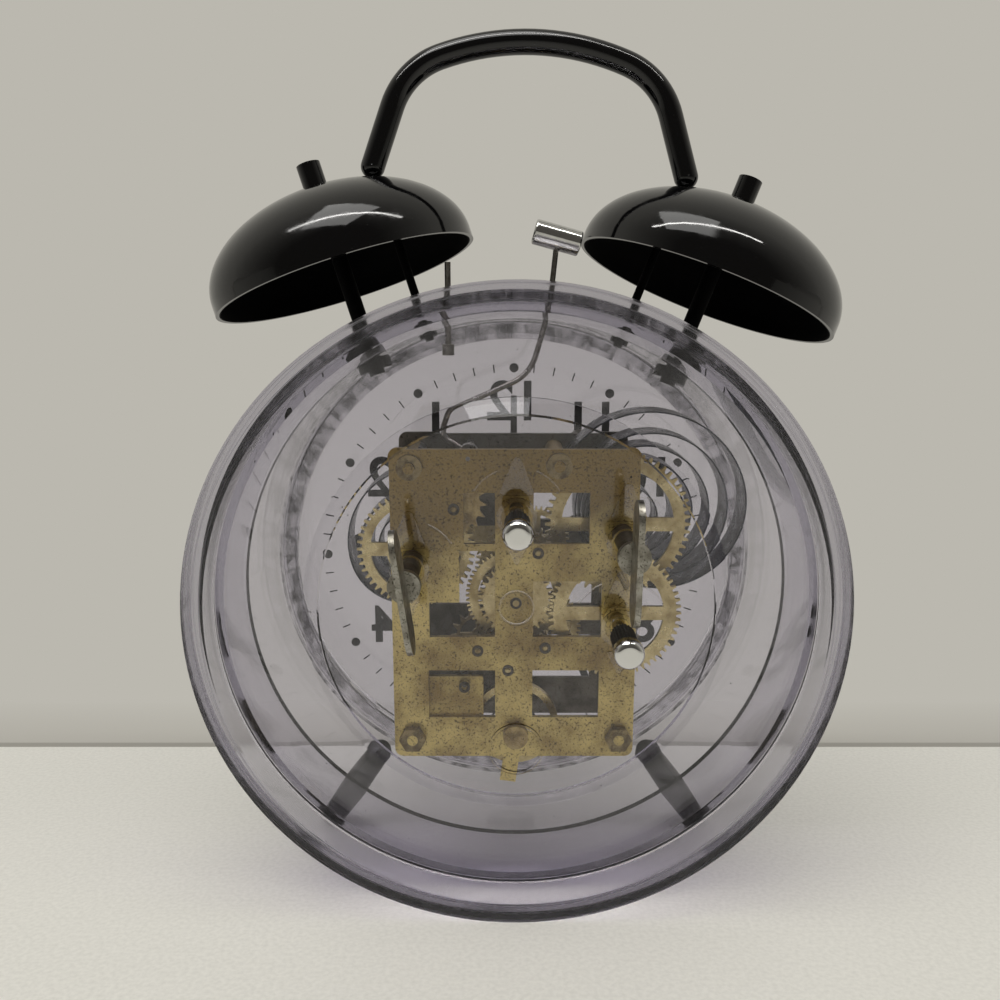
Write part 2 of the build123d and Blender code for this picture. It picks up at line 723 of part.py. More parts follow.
REAR_INSIDE = REAR_PLATE_Z + PLATE_THICKNESS
FRONT_OUTSIDE = FRONT_PLATE_Z + PLATE_THICKNESS
PIVOT_END = 0.3
SHOULDER = 0.2
GREAT_TOP = GREAT_Z + WHEEL_THICKNESS
RATCHET_Z = GREAT_TOP + RATCHET_LIFT
CLICK_Z = GREAT_TOP + CLICK_LIFT
CENTRE_TUBE_REAR = ALARM_SET_Z + SETTING_HUB + SHOULDER
KEY_DISC_FRONT = KEY_DISC_Z + KEY_DISC_THICKNESS
COLUMN_LEFT = -3.1
COLUMN_RIGHT = 3.8
WINDOWS = {
    "upper left": (-13.2, COLUMN_LEFT, 11.1, 20.5),
    "upper right": (COLUMN_RIGHT, 9.4, 11.1, 20.5),
    "middle left": (-15.6, COLUMN_LEFT, -6.5, 4.1),
    "middle right": (COLUMN_RIGHT, 15.8, -6.5, 0.1),
    "side right": (COLUMN_RIGHT, 10.3, 0.0, 9.8),
    "lower left": (-15.4, COLUMN_LEFT, -22.3, -13.0),
    "lower right": (COLUMN_RIGHT, 16.1, -22.3, -13.0),
}
FRONT_WINDOWS = ["upper left", "middle left", "middle right", "side right", "lower left"]
SET_ARBOR_RADIUS = 1.25
SET_NECK_RADIUS = 0.9
KEY_PIVOT_RADIUS = 1.5
ALARM_ARBOR_RADIUS = 0.6
CENTRE_TUBE_RADIUS = 1.1
HOUR_TUBE_RADIUS = 1.6
BUSH_RADIUS = 1.5
BUSH_FLANGE = 2.3
BUSH_LENGTH = 2.0
STAFF_RADIUS = 0.6
HAMMER_ARBOR_RADIUS = 0.7
STUD_RADIUS = 0.6
BRIDGE = (6.0, 18.0, -23.5, -14.6)
FINE_PLACES = [SECOND, THIRD, FOURTH, ESCAPE_PLACE, ALARM_WHEEL, HAMMER_PIVOT]


def slab(left, right, low, high, bottom, top):
    block = Box(right - left, high - low, top - bottom, align=(Align.MIN, Align.MIN, Align.MIN))
    return Pos(left, low, bottom) * block


def plate(bottom, windows):
    body = slab(PLATE_LEFT, PLATE_RIGHT, PLATE_BOTTOM, PLATE_TOP, bottom, bottom + PLATE_THICKNESS)
    body = fillet(body.edges().filter_by(Axis.Z), PLATE_CORNER)
    for name in windows:
        body -= slab(*WINDOWS[name], bottom - 1, bottom + PLATE_THICKNESS + 1)
    for place in LOWER_PILLARS + UPPER_PILLARS:
        body -= disc(PILLAR_SCREW_RADIUS + PIVOT_FIT, bottom - 1, bottom + 2, place)
    for place in FINE_PLACES:
        body -= disc(PIVOT_RADIUS + PIVOT_FIT, bottom - 1, bottom + 2, place)
    return body


def rear_plate():
    body = plate(REAR_PLATE_Z, WINDOWS)
    body += slab(*BRIDGE, REAR_INSIDE, REAR_INSIDE + PLATE_THICKNESS)
    body += disc(BUSH_FLANGE, REAR_PLATE_Z - 1, ALARM_SET_Z - PIVOT_END, ALARM_SET_ARBOR)
    top = REAR_INSIDE + 2
    holes = [
        (KEY_SHAFT_RADIUS, TIME_BARREL),
        (KEY_SHAFT_RADIUS, ALARM_BARREL),
        (SET_ARBOR_RADIUS, TIME_SET_ARBOR),
        (SET_ARBOR_RADIUS, ALARM_SET_ARBOR),
        (ALARM_ARBOR_RADIUS, CENTRE),
        (PIVOT_RADIUS, PALLET_PLACE),
    ]
    for radius, place in holes:
        body -= disc(radius + PIVOT_FIT, REAR_PLATE_Z - 2, top, place)
    body -= disc(BUSH_RADIUS, REAR_PLATE_Z - 1, REAR_INSIDE + 0.1, BALANCE_PLACE)
    return body


def front_plate():
    body = plate(FRONT_PLATE_Z, FRONT_WINDOWS)
    body += disc(STUD_RADIUS, FRONT_OUTSIDE, HOUR_WHEEL_Z + 2, MINUTE_WHEEL)
    holes = [
        (KEY_PIVOT_RADIUS, TIME_BARREL),
        (KEY_PIVOT_RADIUS, ALARM_BARREL),
        (SET_NECK_RADIUS, TIME_SET_ARBOR),
        (CENTRE_TUBE_RADIUS, CENTRE),
        (PIVOT_RADIUS, PALLET_PLACE),
        (PIVOT_RADIUS, BALANCE_PLACE),
    ]
    for radius, place in holes:
        body -= disc(radius + PIVOT_FIT, FRONT_PLATE_Z - 1, FRONT_OUTSIDE + 1, place)
    return body


def pillar(place):
    body = disc(PILLAR_RADIUS, REAR_INSIDE, FRONT_PLATE_Z, place)
    return body + disc(PILLAR_SCREW_RADIUS, REAR_PLATE_Z - NUT_HEIGHT, FRONT_OUTSIDE, place)


def pillar_nuts():
    bottom = REAR_PLATE_Z - NUT_HEIGHT
    bore = PILLAR_SCREW_RADIUS + PIVOT_FIT
    return [hexagon_nut(NUT_RADIUS, NUT_HEIGHT, bottom, place, bore) for place in LOWER_PILLARS]


def pillar_collars():
    # Round heads over the upper pillars.
    bottom = REAR_PLATE_Z - NUT_HEIGHT / 2
    bore = PILLAR_SCREW_RADIUS + PIVOT_FIT
    return [tube(NUT_RADIUS - 0.2, bore, bottom, REAR_PLATE_Z, place) for place in UPPER_PILLARS]


def dial_feet():
    return [disc(FOOT_RADIUS, FRONT_OUTSIDE, DIAL_Z, place) for place in DIAL_FEET]


# Arbors and wheels of the time train


def arbor(radius, place, rear=REAR_INSIDE):
    # Turned arbor with a thin pivot in each plate.
    body = disc(radius, rear + SHOULDER, FRONT_PLATE_Z - SHOULDER, place)
    return body + disc(PIVOT_RADIUS, rear - PLATE_THICKNESS - PIVOT_END, FRONT_OUTSIDE + PIVOT_END, place)


def pinion(teeth, module, phase, wheel_bottom, place):
    # A pinion stands a little past both faces of the wheel that it meshes with.
    return gear(teeth, module, phase, wheel_bottom - 0.5, WHEEL_THICKNESS + 1, place, leaf=True)


def spoked(teeth, module, phase, bottom, place, spokes, hub, rim_share=0.78, width=1.6):
    rim = teeth * module / 2 * rim_share
    body = gear(teeth, module, phase, bottom, WHEEL_THICKNESS, place)
    return body - crossings(rim, hub, spokes, width, phase, bottom, WHEEL_THICKNESS, place)


def ratchet(place, hand):
    return saw_wheel(RATCHET_TEETH, RATCHET_RADIUS, RATCHET_DEPTH, 0, RATCHET_Z, WHEEL_THICKNESS, place, hand)


def click_pin(place, turn):
    return around(place, CLICK_PIN_DISTANCE, turn)


def click(place, turn, hand):
    # The pawl that holds the mainspring, riding on the great wheel beside the ratchet.
    pin = click_pin(place, turn)
    nose = around(place, CLICK_NOSE_DISTANCE, turn + hand * CLICK_NOSE_TURN)
    top = CLICK_Z + CLICK_THICKNESS
    reach = hypot(nose[0] - pin[0], nose[1] - pin[1])
    bar = Box(reach, CLICK_WIDTH, CLICK_THICKNESS, align=(Align.MIN, Align.CENTER, Align.MIN))
    body = disc(CLICK_EYE_RADIUS, CLICK_Z, top, pin)
    body += Pos(pin[0], pin[1], CLICK_Z) * Rot(0, 0, bearing(pin, nose)) * bar
    return body - disc(CLICK_PIN_RADIUS + PIVOT_FIT, CLICK_Z - 1, top + 1, pin)


def great_wheel(teeth, module, place, turn):
    body = spoked(teeth, module, 0, GREAT_Z, place, 4, GREAT_HUB_RADIUS, 0.8, GREAT_SPOKE)
    body += disc(GREAT_BOSS_RADIUS, GREAT_Z - 0.6, GREAT_TOP + 0.2, place)
    body -= disc(KEY_SHAFT_RADIUS + PIVOT_FIT, GREAT_Z - 2, GREAT_TOP + 2, place)
    pin = click_pin(place, turn)
    body += disc(CLICK_EYE_RADIUS, GREAT_Z, GREAT_TOP, pin)
    return body + disc(CLICK_PIN_RADIUS, GREAT_Z, CLICK_Z + CLICK_THICKNESS + 0.2, pin)


def winding_arbor(place, hand):
    # Shaft from the key through the cover and the rear plate, ratchet and spring seat in one.
    body = disc(KEY_SHAFT_RADIUS, KEY_DISC_FRONT, RATCHET_Z, place)
    body += ratchet(place, hand)
    body += disc(SPRING_ARBOR_RADIUS, RATCHET_Z, FRONT_PLATE_Z - WINDING_PLAY, place)
    return body + disc(KEY_PIVOT_RADIUS, RATCHET_Z, FRONT_OUTSIDE + PIVOT_END, place)


def key(place, turn):
    body = disc(KEY_DISC_RADIUS, KEY_DISC_Z - KEY_SEAT, KEY_DISC_FRONT)
    blade = extrude(SlotOverall(KEY_BLADE_LENGTH, KEY_BLADE_WIDTH), KEY_BLADE_THICKNESS / 2, both=True)
    blade = Rot(0, 90, 0) * Rot(0, 0, 90) * blade
    middle = KEY_DISC_Z - KEY_BLADE_WIDTH / 2
    return Pos(place[0], place[1], 0) * Rot(0, 0, turn) * (body + Pos(0, 0, middle) * blade)


def second_wheel():
    turn = phase_in_mesh(TIME_BARREL, GREAT_TEETH, 0, SECOND, SECOND_PINION_TEETH)
    body = arbor(SECOND_ARBOR_RADIUS, SECOND)
    body += pinion(SECOND_PINION_TEETH, GREAT_MODULE, turn, GREAT_Z, SECOND)
    return body + spoked(SECOND_TEETH, TRAIN_MODULE, 0, SECOND_WHEEL_Z, SECOND, 4, WHEEL_HUB_RADIUS)


def centre_wheel():
    turn = phase_in_mesh(SECOND, SECOND_TEETH, 0, CENTRE, CENTRE_PINION_TEETH)
    body = disc(CENTRE_TUBE_RADIUS, CENTRE_TUBE_REAR, FRONT_OUTSIDE + PIVOT_END)
    body += gear(CENTRE_PINION_TEETH, TRAIN_MODULE, turn, SECOND_WHEEL_Z - 0.2, WHEEL_THICKNESS + 0.4, CENTRE)
    body += spoked(CENTRE_TEETH, TRAIN_MODULE, 0, CENTRE_WHEEL_Z, CENTRE, 5, CENTRE_HUB_RADIUS)
    return body - disc(ALARM_ARBOR_RADIUS + PIVOT_FIT, REAR_PLATE_Z, FRONT_OUTSIDE + 2)


def third_wheel():
    turn = phase_in_mesh(CENTRE, CENTRE_TEETH, 0, THIRD, THIRD_PINION_TEETH)
    body = arbor(ARBOR_RADIUS, THIRD)
    body += pinion(THIRD_PINION_TEETH, TRAIN_MODULE, turn, CENTRE_WHEEL_Z, THIRD)
    return body + spoked(THIRD_TEETH, TRAIN_MODULE, 0, THIRD_WHEEL_Z, THIRD, 4, WHEEL_HUB_RADIUS)


def fourth_wheel():
    turn = phase_in_mesh(THIRD, THIRD_TEETH, 0, FOURTH, FOURTH_PINION_TEETH)
    body = arbor(THIN_ARBOR_RADIUS, FOURTH)
    body += pinion(FOURTH_PINION_TEETH, TRAIN_MODULE, turn, THIRD_WHEEL_Z, FOURTH)
    return body + spoked(FOURTH_TEETH, FINE_MODULE, 0, FOURTH_WHEEL_Z, FOURTH, 4, WHEEL_HUB_RADIUS)


def escape_wheel():
    turn = phase_in_mesh(FOURTH, FOURTH_TEETH, 0, ESCAPE_PLACE, ESCAPE_PINION_TEETH)
    body = arbor(THIN_ARBOR_RADIUS, ESCAPE_PLACE)
    body += pinion(ESCAPE_PINION_TEETH, FINE_MODULE, turn, FOURTH_WHEEL_Z, ESCAPE_PLACE)
    level = ESCAPE_WHEEL_Z
    rim = ESCAPE_RADIUS * 2 / 3
    body += saw_wheel(ESCAPE_TEETH, ESCAPE_RADIUS, ESCAPE_DEPTH, 0, level, WHEEL_THICKNESS, ESCAPE_PLACE)
    return body - crossings(rim, ESCAPE_HUB_RADIUS, 4, ARM_WIDTH, 0, level, WHEEL_THICKNESS, ESCAPE_PLACE)


def anchor_arms(place, wheel, reach, spread, bottom):
    # Two short arms with upright pins that straddle a toothed wheel.
    body = disc(ANCHOR_BOSS_RADIUS, bottom, bottom + WHEEL_THICKNESS, place)
    for side in (-1, 1):
        turn = bearing(place, wheel) + side * spread
        arm = Box(reach, ARM_WIDTH, WHEEL_THICKNESS, align=(Align.MIN, Align.CENTER, Align.MIN))
        body += Pos(place[0], place[1], bottom) * Rot(0, 0, turn) * arm
        pin = around(place, reach - ANCHOR_PIN_RADIUS, turn)
        body += disc(ANCHOR_PIN_RADIUS, bottom - 0.2, bottom + WHEEL_THICKNESS + 0.4, pin)
    return body


def pallet_fork():
    body = arbor(PALLET_ARBOR_RADIUS, PALLET_PLACE, REAR_INSIDE + PLATE_THICKNESS)
    body += anchor_arms(PALLET_PLACE, ESCAPE_PLACE, PALLET_REACH, PALLET_SPREAD, ESCAPE_WHEEL_Z)
    to_balance = hypot(BALANCE_PLACE[0] - PALLET_PLACE[0], BALANCE_PLACE[1] - PALLET_PLACE[1])
    length = to_balance - STAFF_RADIUS - FORK_GAP
    lever = Box(length, ARM_WIDTH, WHEEL_THICKNESS, align=(Align.MIN, Align.CENTER, Align.MIN))
    prong = Box(FORK_LENGTH, FORK_WIDTH, WHEEL_THICKNESS, align=(Align.MAX, Align.CENTER, Align.MIN))
    lever += Pos(length, 0, 0) * prong
    turn = bearing(PALLET_PLACE, BALANCE_PLACE)
    return body + Pos(PALLET_PLACE[0], PALLET_PLACE[1], ESCAPE_WHEEL_Z) * Rot(0, 0, turn) * lever


def balance_wheel():
    body = disc(PIVOT_RADIUS, REAR_INSIDE, FRONT_OUTSIDE + PIVOT_END, BALANCE_PLACE)
    body += disc(STAFF_RADIUS, HAIRSPRING_Z - SHOULDER, FRONT_PLATE_Z - SHOULDER, BALANCE_PLACE)
    top = BALANCE_Z + BALANCE_RIM_HEIGHT
    body += tube(BALANCE_RADIUS, BALANCE_RADIUS - BALANCE_RIM_WALL, BALANCE_Z, top, BALANCE_PLACE)
    length = 2 * BALANCE_RADIUS - BALANCE_RIM_WALL
    thickness = BALANCE_RIM_HEIGHT - 0.4
    arm = Box(length, BALANCE_ARM_WIDTH, thickness, align=(Align.CENTER, Align.CENTER, Align.MIN))
    return body + Pos(BALANCE_PLACE[0], BALANCE_PLACE[1], BALANCE_Z + 0.2) * Rot(0, 0, BALANCE_ARM_TURN) * arm


def balance_bush():
    bottom = REAR_PLATE_Z - BUSH_LENGTH
    top = REGULATOR_Z + REGULATOR_THICKNESS + 0.3
    body = disc(BUSH_FLANGE, bottom, REAR_PLATE_Z, BALANCE_PLACE)
    body += disc(BUSH_RADIUS, REAR_PLATE_Z, top, BALANCE_PLACE)
    return body - disc(PIVOT_RADIUS + PIVOT_FIT, REAR_INSIDE - 0.2, top + 1, BALANCE_PLACE)


def regulator_lever():
    # Ring on the balance bush with a tail that reaches below the plates.
    body = disc(REGULATOR_RADIUS, REGULATOR_Z, REGULATOR_Z + REGULATOR_THICKNESS, BALANCE_PLACE)
    size = (REGULATOR_WIDTH, REGULATOR_TAIL, REGULATOR_THICKNESS)
    tail = Box(*size, align=(Align.CENTER, Align.MAX, Align.MIN))
    body += Pos(BALANCE_PLACE[0], BALANCE_PLACE[1], REGULATOR_Z) * Rot(0, 0, REGULATOR_TURN) * tail
    return body - disc(BUSH_RADIUS + PIVOT_FIT, REGULATOR_Z - 1, REGULATOR_Z + 2, BALANCE_PLACE)


# Springs

hairspring_arcs = coil_arcs(
    BALANCE_PLACE,
    90,
    HAIRSPRING_START,
    HAIRSPRING_REACH,
    HAIRSPRING_REACH,
    HAIRSPRING_LOOPS,
    1,
)
SPRING_START = SPRING_ARBOR_RADIUS + SPRING_STRIP / 2
POST_GRIP = PILLAR_RADIUS + SPRING_STRIP / 2 + PIVOT_FIT


def mainspring_arcs(place, direction, near, reach, loops, hand, post):
    arcs = coil_arcs(place, direction, SPRING_START, near, reach, loops, hand)
    return arcs + hooked_end(place, direction, reach, hand, post, POST_GRIP)


time_spring_arcs = mainspring_arcs(
    TIME_BARREL,
    TIME_SPRING_BEARING,
    TIME_SPRING_NEAR,
    TIME_SPRING_REACH,
    TIME_SPRING_LOOPS,
    -1,
    UPPER_PILLARS[0],
)
alarm_spring_arcs = mainspring_arcs(
    ALARM_BARREL,
    ALARM_SPRING_BEARING,
    ALARM_SPRING_NEAR,
    ALARM_SPRING_REACH,
    ALARM_SPRING_LOOPS,
    1,
    UPPER_PILLARS[1],
)

# Alarm train and hammer

HAMMER_WIRE_RADIUS = 0.5
HAMMER_HEAD_RADIUS = 2.3
HAMMER_HEAD_LENGTH = 8.8
HAMMER_HEAD_TILT = 15.0
HAMMER_HEAD_PLACE = Vector(-7.5, 65.0, 25.0)
HAMMER_WIRE_POINTS = [
    (13.6, 29.8, 18.4),
    (12.0, 34.4, 18.8),
    (-2.6, 40.6, 21.2),
    (-5.3, 49.5, SLOT_Z),
    (-6.7, 57.5, 24.3),
]
HAMMER_WIRE_BENDS = [2.0, 3.0, 8.0, 12.0, 12.0]
HAMMER_BOSS = (17.2, 19.6)
HAMMER_BOSS_RADIUS = 1.8
WIRE_DEPTH = 0.9
HAMMER_ANCHOR_REACH = 4.3
HAMMER_ANCHOR_SPREAD = 55


def hammer_wire_ends():
    boss = Vector(HAMMER_PIVOT[0], HAMMER_PIVOT[1], HAMMER_WIRE_POINTS[0][2])
    first = (Vector(*HAMMER_WIRE_POINTS[0]) - boss).normalized()
    last = (HAMMER_HEAD_PLACE - Vector(*HAMMER_WIRE_POINTS[-1])).normalized()
    return boss + first * WIRE_DEPTH, HAMMER_HEAD_PLACE - last * WIRE_DEPTH


def hammer_arbor():
    start = hammer_wire_ends()[0]
    body = arbor(HAMMER_ARBOR_RADIUS, HAMMER_PIVOT) + disc(HAMMER_BOSS_RADIUS, *HAMMER_BOSS, HAMMER_PIVOT)
    body += anchor_arms(HAMMER_PIVOT, ALARM_WHEEL, HAMMER_ANCHOR_REACH, HAMMER_ANCHOR_SPREAD, ALARM_ESCAPE_Z)
    return body - rod(HAMMER_WIRE_RADIUS, start, HAMMER_WIRE_POINTS[0])


def hammer_wire():
    start, end = hammer_wire_ends()
    path = FilletPolyline(start, *HAMMER_WIRE_POINTS, end, radius=HAMMER_WIRE_BENDS)
    section = Plane(origin=start, z_dir=path % 0) * Circle(HAMMER_WIRE_RADIUS)
    return sweep(section, path)


def hammer_head():
    bar = Cylinder(HAMMER_HEAD_RADIUS, HAMMER_HEAD_LENGTH)
    bar = fillet(bar.edges().filter_by(GeomType.CIRCLE), HAMMER_HEAD_RADIUS / 5)
    placed = Pos(HAMMER_HEAD_PLACE) * Rot(0, 0, HAMMER_HEAD_TILT) * Rot(0, 90, 0) * bar
    return placed - rod(HAMMER_WIRE_RADIUS, hammer_wire_ends()[1], HAMMER_WIRE_POINTS[-1])


def alarm_escape_wheel():
    turn = phase_in_mesh(ALARM_BARREL, ALARM_GREAT_TEETH, 0, ALARM_WHEEL, ALARM_PINION_TEETH)
    body = arbor(ARBOR_RADIUS, ALARM_WHEEL)
    body += pinion(ALARM_PINION_TEETH, ALARM_GREAT_MODULE, turn, GREAT_Z, ALARM_WHEEL)
    shape = (ALARM_ESCAPE_TEETH, ALARM_ESCAPE_RADIUS, ALARM_ESCAPE_DEPTH)
    return body + saw_wheel(*shape, 0, ALARM_ESCAPE_Z, WHEEL_THICKNESS, ALARM_WHEEL)


# Knobs, setting arbors, motion work and hands

ARBOR_IN_KNOB = 4.4
KNOB_FRONT = KNOB_END + KNOB_CAP_LENGTH + KNOB_STEM_LENGTH
RIB_DEPTH = 0.25


def knob(place):
    cap = Cylinder(KNOB_CAP_RADIUS, KNOB_CAP_LENGTH, align=(Align.CENTER, Align.CENTER, Align.MIN))
    cap = fillet(cap.edges().filter_by(GeomType.CIRCLE).sort_by(Axis.Z)[0], KNOB_CAP_RADIUS / 2)
    points = []
    for number in range(2 * KNOB_RIBS):
        radius = KNOB_STEM_RADIUS - RIB_DEPTH * (number % 2)
        points.append(around(CENTRE, radius, number * 180 / KNOB_RIBS))
    ribbed = extrude(make_face(Polyline(*points, close=True)), KNOB_STEM_LENGTH)
    body = Pos(0, 0, KNOB_END) * (cap + Pos(0, 0, KNOB_CAP_LENGTH) * ribbed)
    body -= disc(SET_ARBOR_RADIUS, KNOB_FRONT - ARBOR_IN_KNOB, KNOB_FRONT + 1)
    return Pos(place[0], place[1], 0) * body


def time_set_arbor():
    body = disc(SET_ARBOR_RADIUS, KNOB_FRONT - ARBOR_IN_KNOB, FRONT_PLATE_Z - SHOULDER, TIME_SET_ARBOR)
    body += disc(SET_NECK_RADIUS, FRONT_PLATE_Z - SHOULDER, MOTION_Z, TIME_SET_ARBOR)
    top = WHEEL_THICKNESS + 2 * SHOULDER
    teeth = gear(SETTING_PINION_TEETH, MOTION_MODULE, 0, MOTION_Z - SHOULDER, top, TIME_SET_ARBOR, leaf=True)
    return body + teeth


def minute_wheel_phase():
    return phase_in_mesh(TIME_SET_ARBOR, SETTING_PINION_TEETH, 0, MINUTE_WHEEL, MINUTE_TEETH)


def minute_wheel():
    body = gear(MINUTE_TEETH, MOTION_MODULE, minute_wheel_phase(), MOTION_Z, WHEEL_THICKNESS, MINUTE_WHEEL)
    body += disc(2 * STUD_RADIUS, MOTION_Z - MOTION_HUB, HOUR_WHEEL_Z, MINUTE_WHEEL)
    body += pinion(MINUTE_PINION_TEETH, HOUR_MODULE, 0, HOUR_WHEEL_Z, MINUTE_WHEEL)
    return body - disc(STUD_RADIUS + PIVOT_FIT, MOTION_Z - 2, HOUR_WHEEL_Z + 4, MINUTE_WHEEL)


def cannon_pinion():
    turn = phase_in_mesh(MINUTE_WHEEL, MINUTE_TEETH, minute_wheel_phase(), CENTRE, CANNON_TEETH)
    body = disc(CENTRE_TUBE_RADIUS, FRONT_OUTSIDE + 1, MINUTE_HAND_Z + HAND_THICKNESS)
    top = WHEEL_THICKNESS + 2 * SHOULDER
    body += gear(CANNON_TEETH, MOTION_MODULE, turn, MOTION_Z - SHOULDER, top, CENTRE, leaf=True)
    return body - disc(ALARM_ARBOR_RADIUS + PIVOT_FIT, FRONT_OUTSIDE, MINUTE_HAND_Z + 1)


def hour_wheel():
    turn = phase_in_mesh(MINUTE_WHEEL, MINUTE_PINION_TEETH, 0, CENTRE, HOUR_TEETH)
    body = disc(HOUR_TUBE_RADIUS, HOUR_WHEEL_Z - SHOULDER, HOUR_HAND_Z + HAND_THICKNESS)
    body += gear(HOUR_TEETH, HOUR_MODULE, turn, HOUR_WHEEL_Z, WHEEL_THICKNESS, CENTRE)
    return body - disc(CENTRE_TUBE_RADIUS + PIVOT_FIT, HOUR_WHEEL_Z - 2, HOUR_HAND_Z + 2)


def hand(length, width, bottom, bore, turn):
    # A straight hand with a round eye and a short tail, wider at the eye and cut square at the tip.
    tip = width * HAND_TIP_SHARE / 2
    outline = [(width / 2, 0), (tip, length), (-tip, length), (-width / 2, 0)]
    body = extrude(make_face(Polyline(*outline, close=True)), HAND_THICKNESS)
    body += disc(bore + HAND_EYE_WALL, 0, HAND_THICKNESS)
    body += Box(width * 0.7, 4 * bore, HAND_THICKNESS, align=(Align.CENTER, Align.MAX, Align.MIN))
    return Pos(0, 0, bottom) * Rot(0, 0, turn) * body - disc(bore, bottom - 1, bottom + 1)


def alarm_setting_wheel():
    body = disc(SET_ARBOR_RADIUS, KNOB_FRONT - ARBOR_IN_KNOB, ALARM_SET_Z + SETTING_HUB, ALARM_SET_ARBOR)
    body += disc(BUSH_FLANGE, ALARM_SET_Z - SHOULDER, ALARM_SET_Z + SETTING_HUB, ALARM_SET_ARBOR)
    hub = BUSH_FLANGE + 0.7
    teeth = ALARM_SET_TEETH
    return body + spoked(teeth, ALARM_SET_MODULE, 0, ALARM_SET_Z, ALARM_SET_ARBOR, 4, hub, 0.76, GREAT_SPOKE)


def alarm_centre_wheel():
    turn = phase_in_mesh(ALARM_SET_ARBOR, ALARM_SET_TEETH, 0, CENTRE, ALARM_CENTRE_TEETH)
    body = disc(ALARM_ARBOR_RADIUS, REAR_PLATE_Z - PIVOT_END, ALARM_HAND_Z + HAND_THICKNESS)
    body += disc(HOUR_TUBE_RADIUS, REAR_INSIDE + PIVOT_END, ALARM_SET_Z + SETTING_HUB)
    return body + gear(ALARM_CENTRE_TEETH, ALARM_SET_MODULE, turn, ALARM_SET_Z, WHEEL_THICKNESS, CENTRE)


# Every piece by name, in the clock's own frame

alarm_hand_shape = (ALARM_HAND_LENGTH, ALARM_HAND_WIDTH, ALARM_HAND_Z)
nodes = {
    "case_drum": case_drum(),
    "rear_cover": rear_cover(),
    "front_lens": front_lens(),
    "dial_disc": dial_disc(),
    "left_leg": leg(-1),
    "right_leg": leg(1),
    "leg_nuts": leg_nuts(),
    "left_bell": bell(-1),
    "right_bell": bell(1),
    "left_bell_post": bell_post(-1),
    "right_bell_post": bell_post(1),
    "left_cap_nut": cap_nut(-1),
    "right_cap_nut": cap_nut(1),
    "carrying_handle": carrying_handle(),
    "stay_nuts": stay_nuts(),
    "alarm_stop_pin": alarm_stop_pin(),
    "rear_plate": rear_plate(),
    "front_plate": front_plate(),
    "lower_left_pillar": pillar(LOWER_PILLARS[0]),
    "lower_right_pillar": pillar(LOWER_PILLARS[1]),
    "upper_left_pillar": pillar(UPPER_PILLARS[0]),
    "upper_right_pillar": pillar(UPPER_PILLARS[1]),
    "pillar_nuts": pillar_nuts(),
    "pillar_collars": pillar_collars(),
    "dial_feet": dial_feet(),
    "time_great_wheel": great_wheel(GREAT_TEETH, GREAT_MODULE, TIME_BARREL, CLICK_TURN),
    "time_click": click(TIME_BARREL, CLICK_TURN, 1),
    "time_winding_arbor": winding_arbor(TIME_BARREL, 1),
    "time_key": key(TIME_BARREL, TIME_KEY_TURN),
    "time_mainspring": strip_solid(time_spring_arcs, SPRING_STRIP, SPRING_Z, SPRING_HEIGHT),
    "second_wheel": second_wheel(),
    "centre_wheel": centre_wheel(),
    "third_wheel": third_wheel(),
    "fourth_wheel": fourth_wheel(),
    "escape_wheel": escape_wheel(),
    "pallet_fork": pallet_fork(),
    "balance_wheel": balance_wheel(),
    "balance_bush": balance_bush(),
    "hairspring": strip_solid(hairspring_arcs, HAIRSPRING_STRIP, HAIRSPRING_Z, HAIRSPRING_HEIGHT),
    "regulator_lever": regulator_lever(),
    "alarm_great_wheel": great_wheel(ALARM_GREAT_TEETH, ALARM_GREAT_MODULE, ALARM_BARREL, CLICK_TURN),
    "alarm_click": click(ALARM_BARREL, CLICK_TURN, -1),
    "alarm_winding_arbor": winding_arbor(ALARM_BARREL, -1),
    "alarm_key": key(ALARM_BARREL, ALARM_KEY_TURN),
    "alarm_mainspring": strip_solid(alarm_spring_arcs, SPRING_STRIP, SPRING_Z, SPRING_HEIGHT),
    "alarm_escape_wheel": alarm_escape_wheel(),
    "hammer_arbor": hammer_arbor(),
    "hammer_wire": hammer_wire(),
    "hammer_head": hammer_head(),
    "time_set_knob": knob(TIME_SET_ARBOR),
    "time_set_arbor": time_set_arbor(),
    "minute_wheel": minute_wheel(),
    "cannon_pinion": cannon_pinion(),
    "minute_hand": hand(MINUTE_HAND_LENGTH, MINUTE_HAND_WIDTH, MINUTE_HAND_Z, CENTRE_TUBE_RADIUS, 0),
    "hour_wheel": hour_wheel(),
    "hour_hand": hand(HOUR_HAND_LENGTH, HOUR_HAND_WIDTH, HOUR_HAND_Z, HOUR_TUBE_RADIUS, HOUR_HAND_TURN),
    "alarm_set_knob": knob(ALARM_SET_ARBOR),
    "alarm_setting_wheel": alarm_setting_wheel(),
    "alarm_centre_wheel": alarm_centre_wheel(),
    "alarm_hand": hand(*alarm_hand_shape, ALARM_ARBOR_RADIUS, ALARM_HAND_TURN),
}

# Stand the clock upright on its rear rim and legs, with the origin under the middle of its box

upright = Rot(90 - LEAN, 0, 0)
standing = {}
for name, shape in nodes.items():
    pieces = shape if isinstance(shape, list) else shape.solids()
    standing[name] = [upright * piece for piece in pieces]
boxes = [piece.bounding_box() for pieces in standing.values() for piece in pieces]
low = [min(getattr(box.min, axis) for box in boxes) for axis in "XYZ"]
high = [max(getattr(box.max, axis) for box in boxes) for axis in "XYZ"]
shift = Pos(-(low[0] + high[0]) / 2, -(low[1] + high[1]) / 2, -low[2])

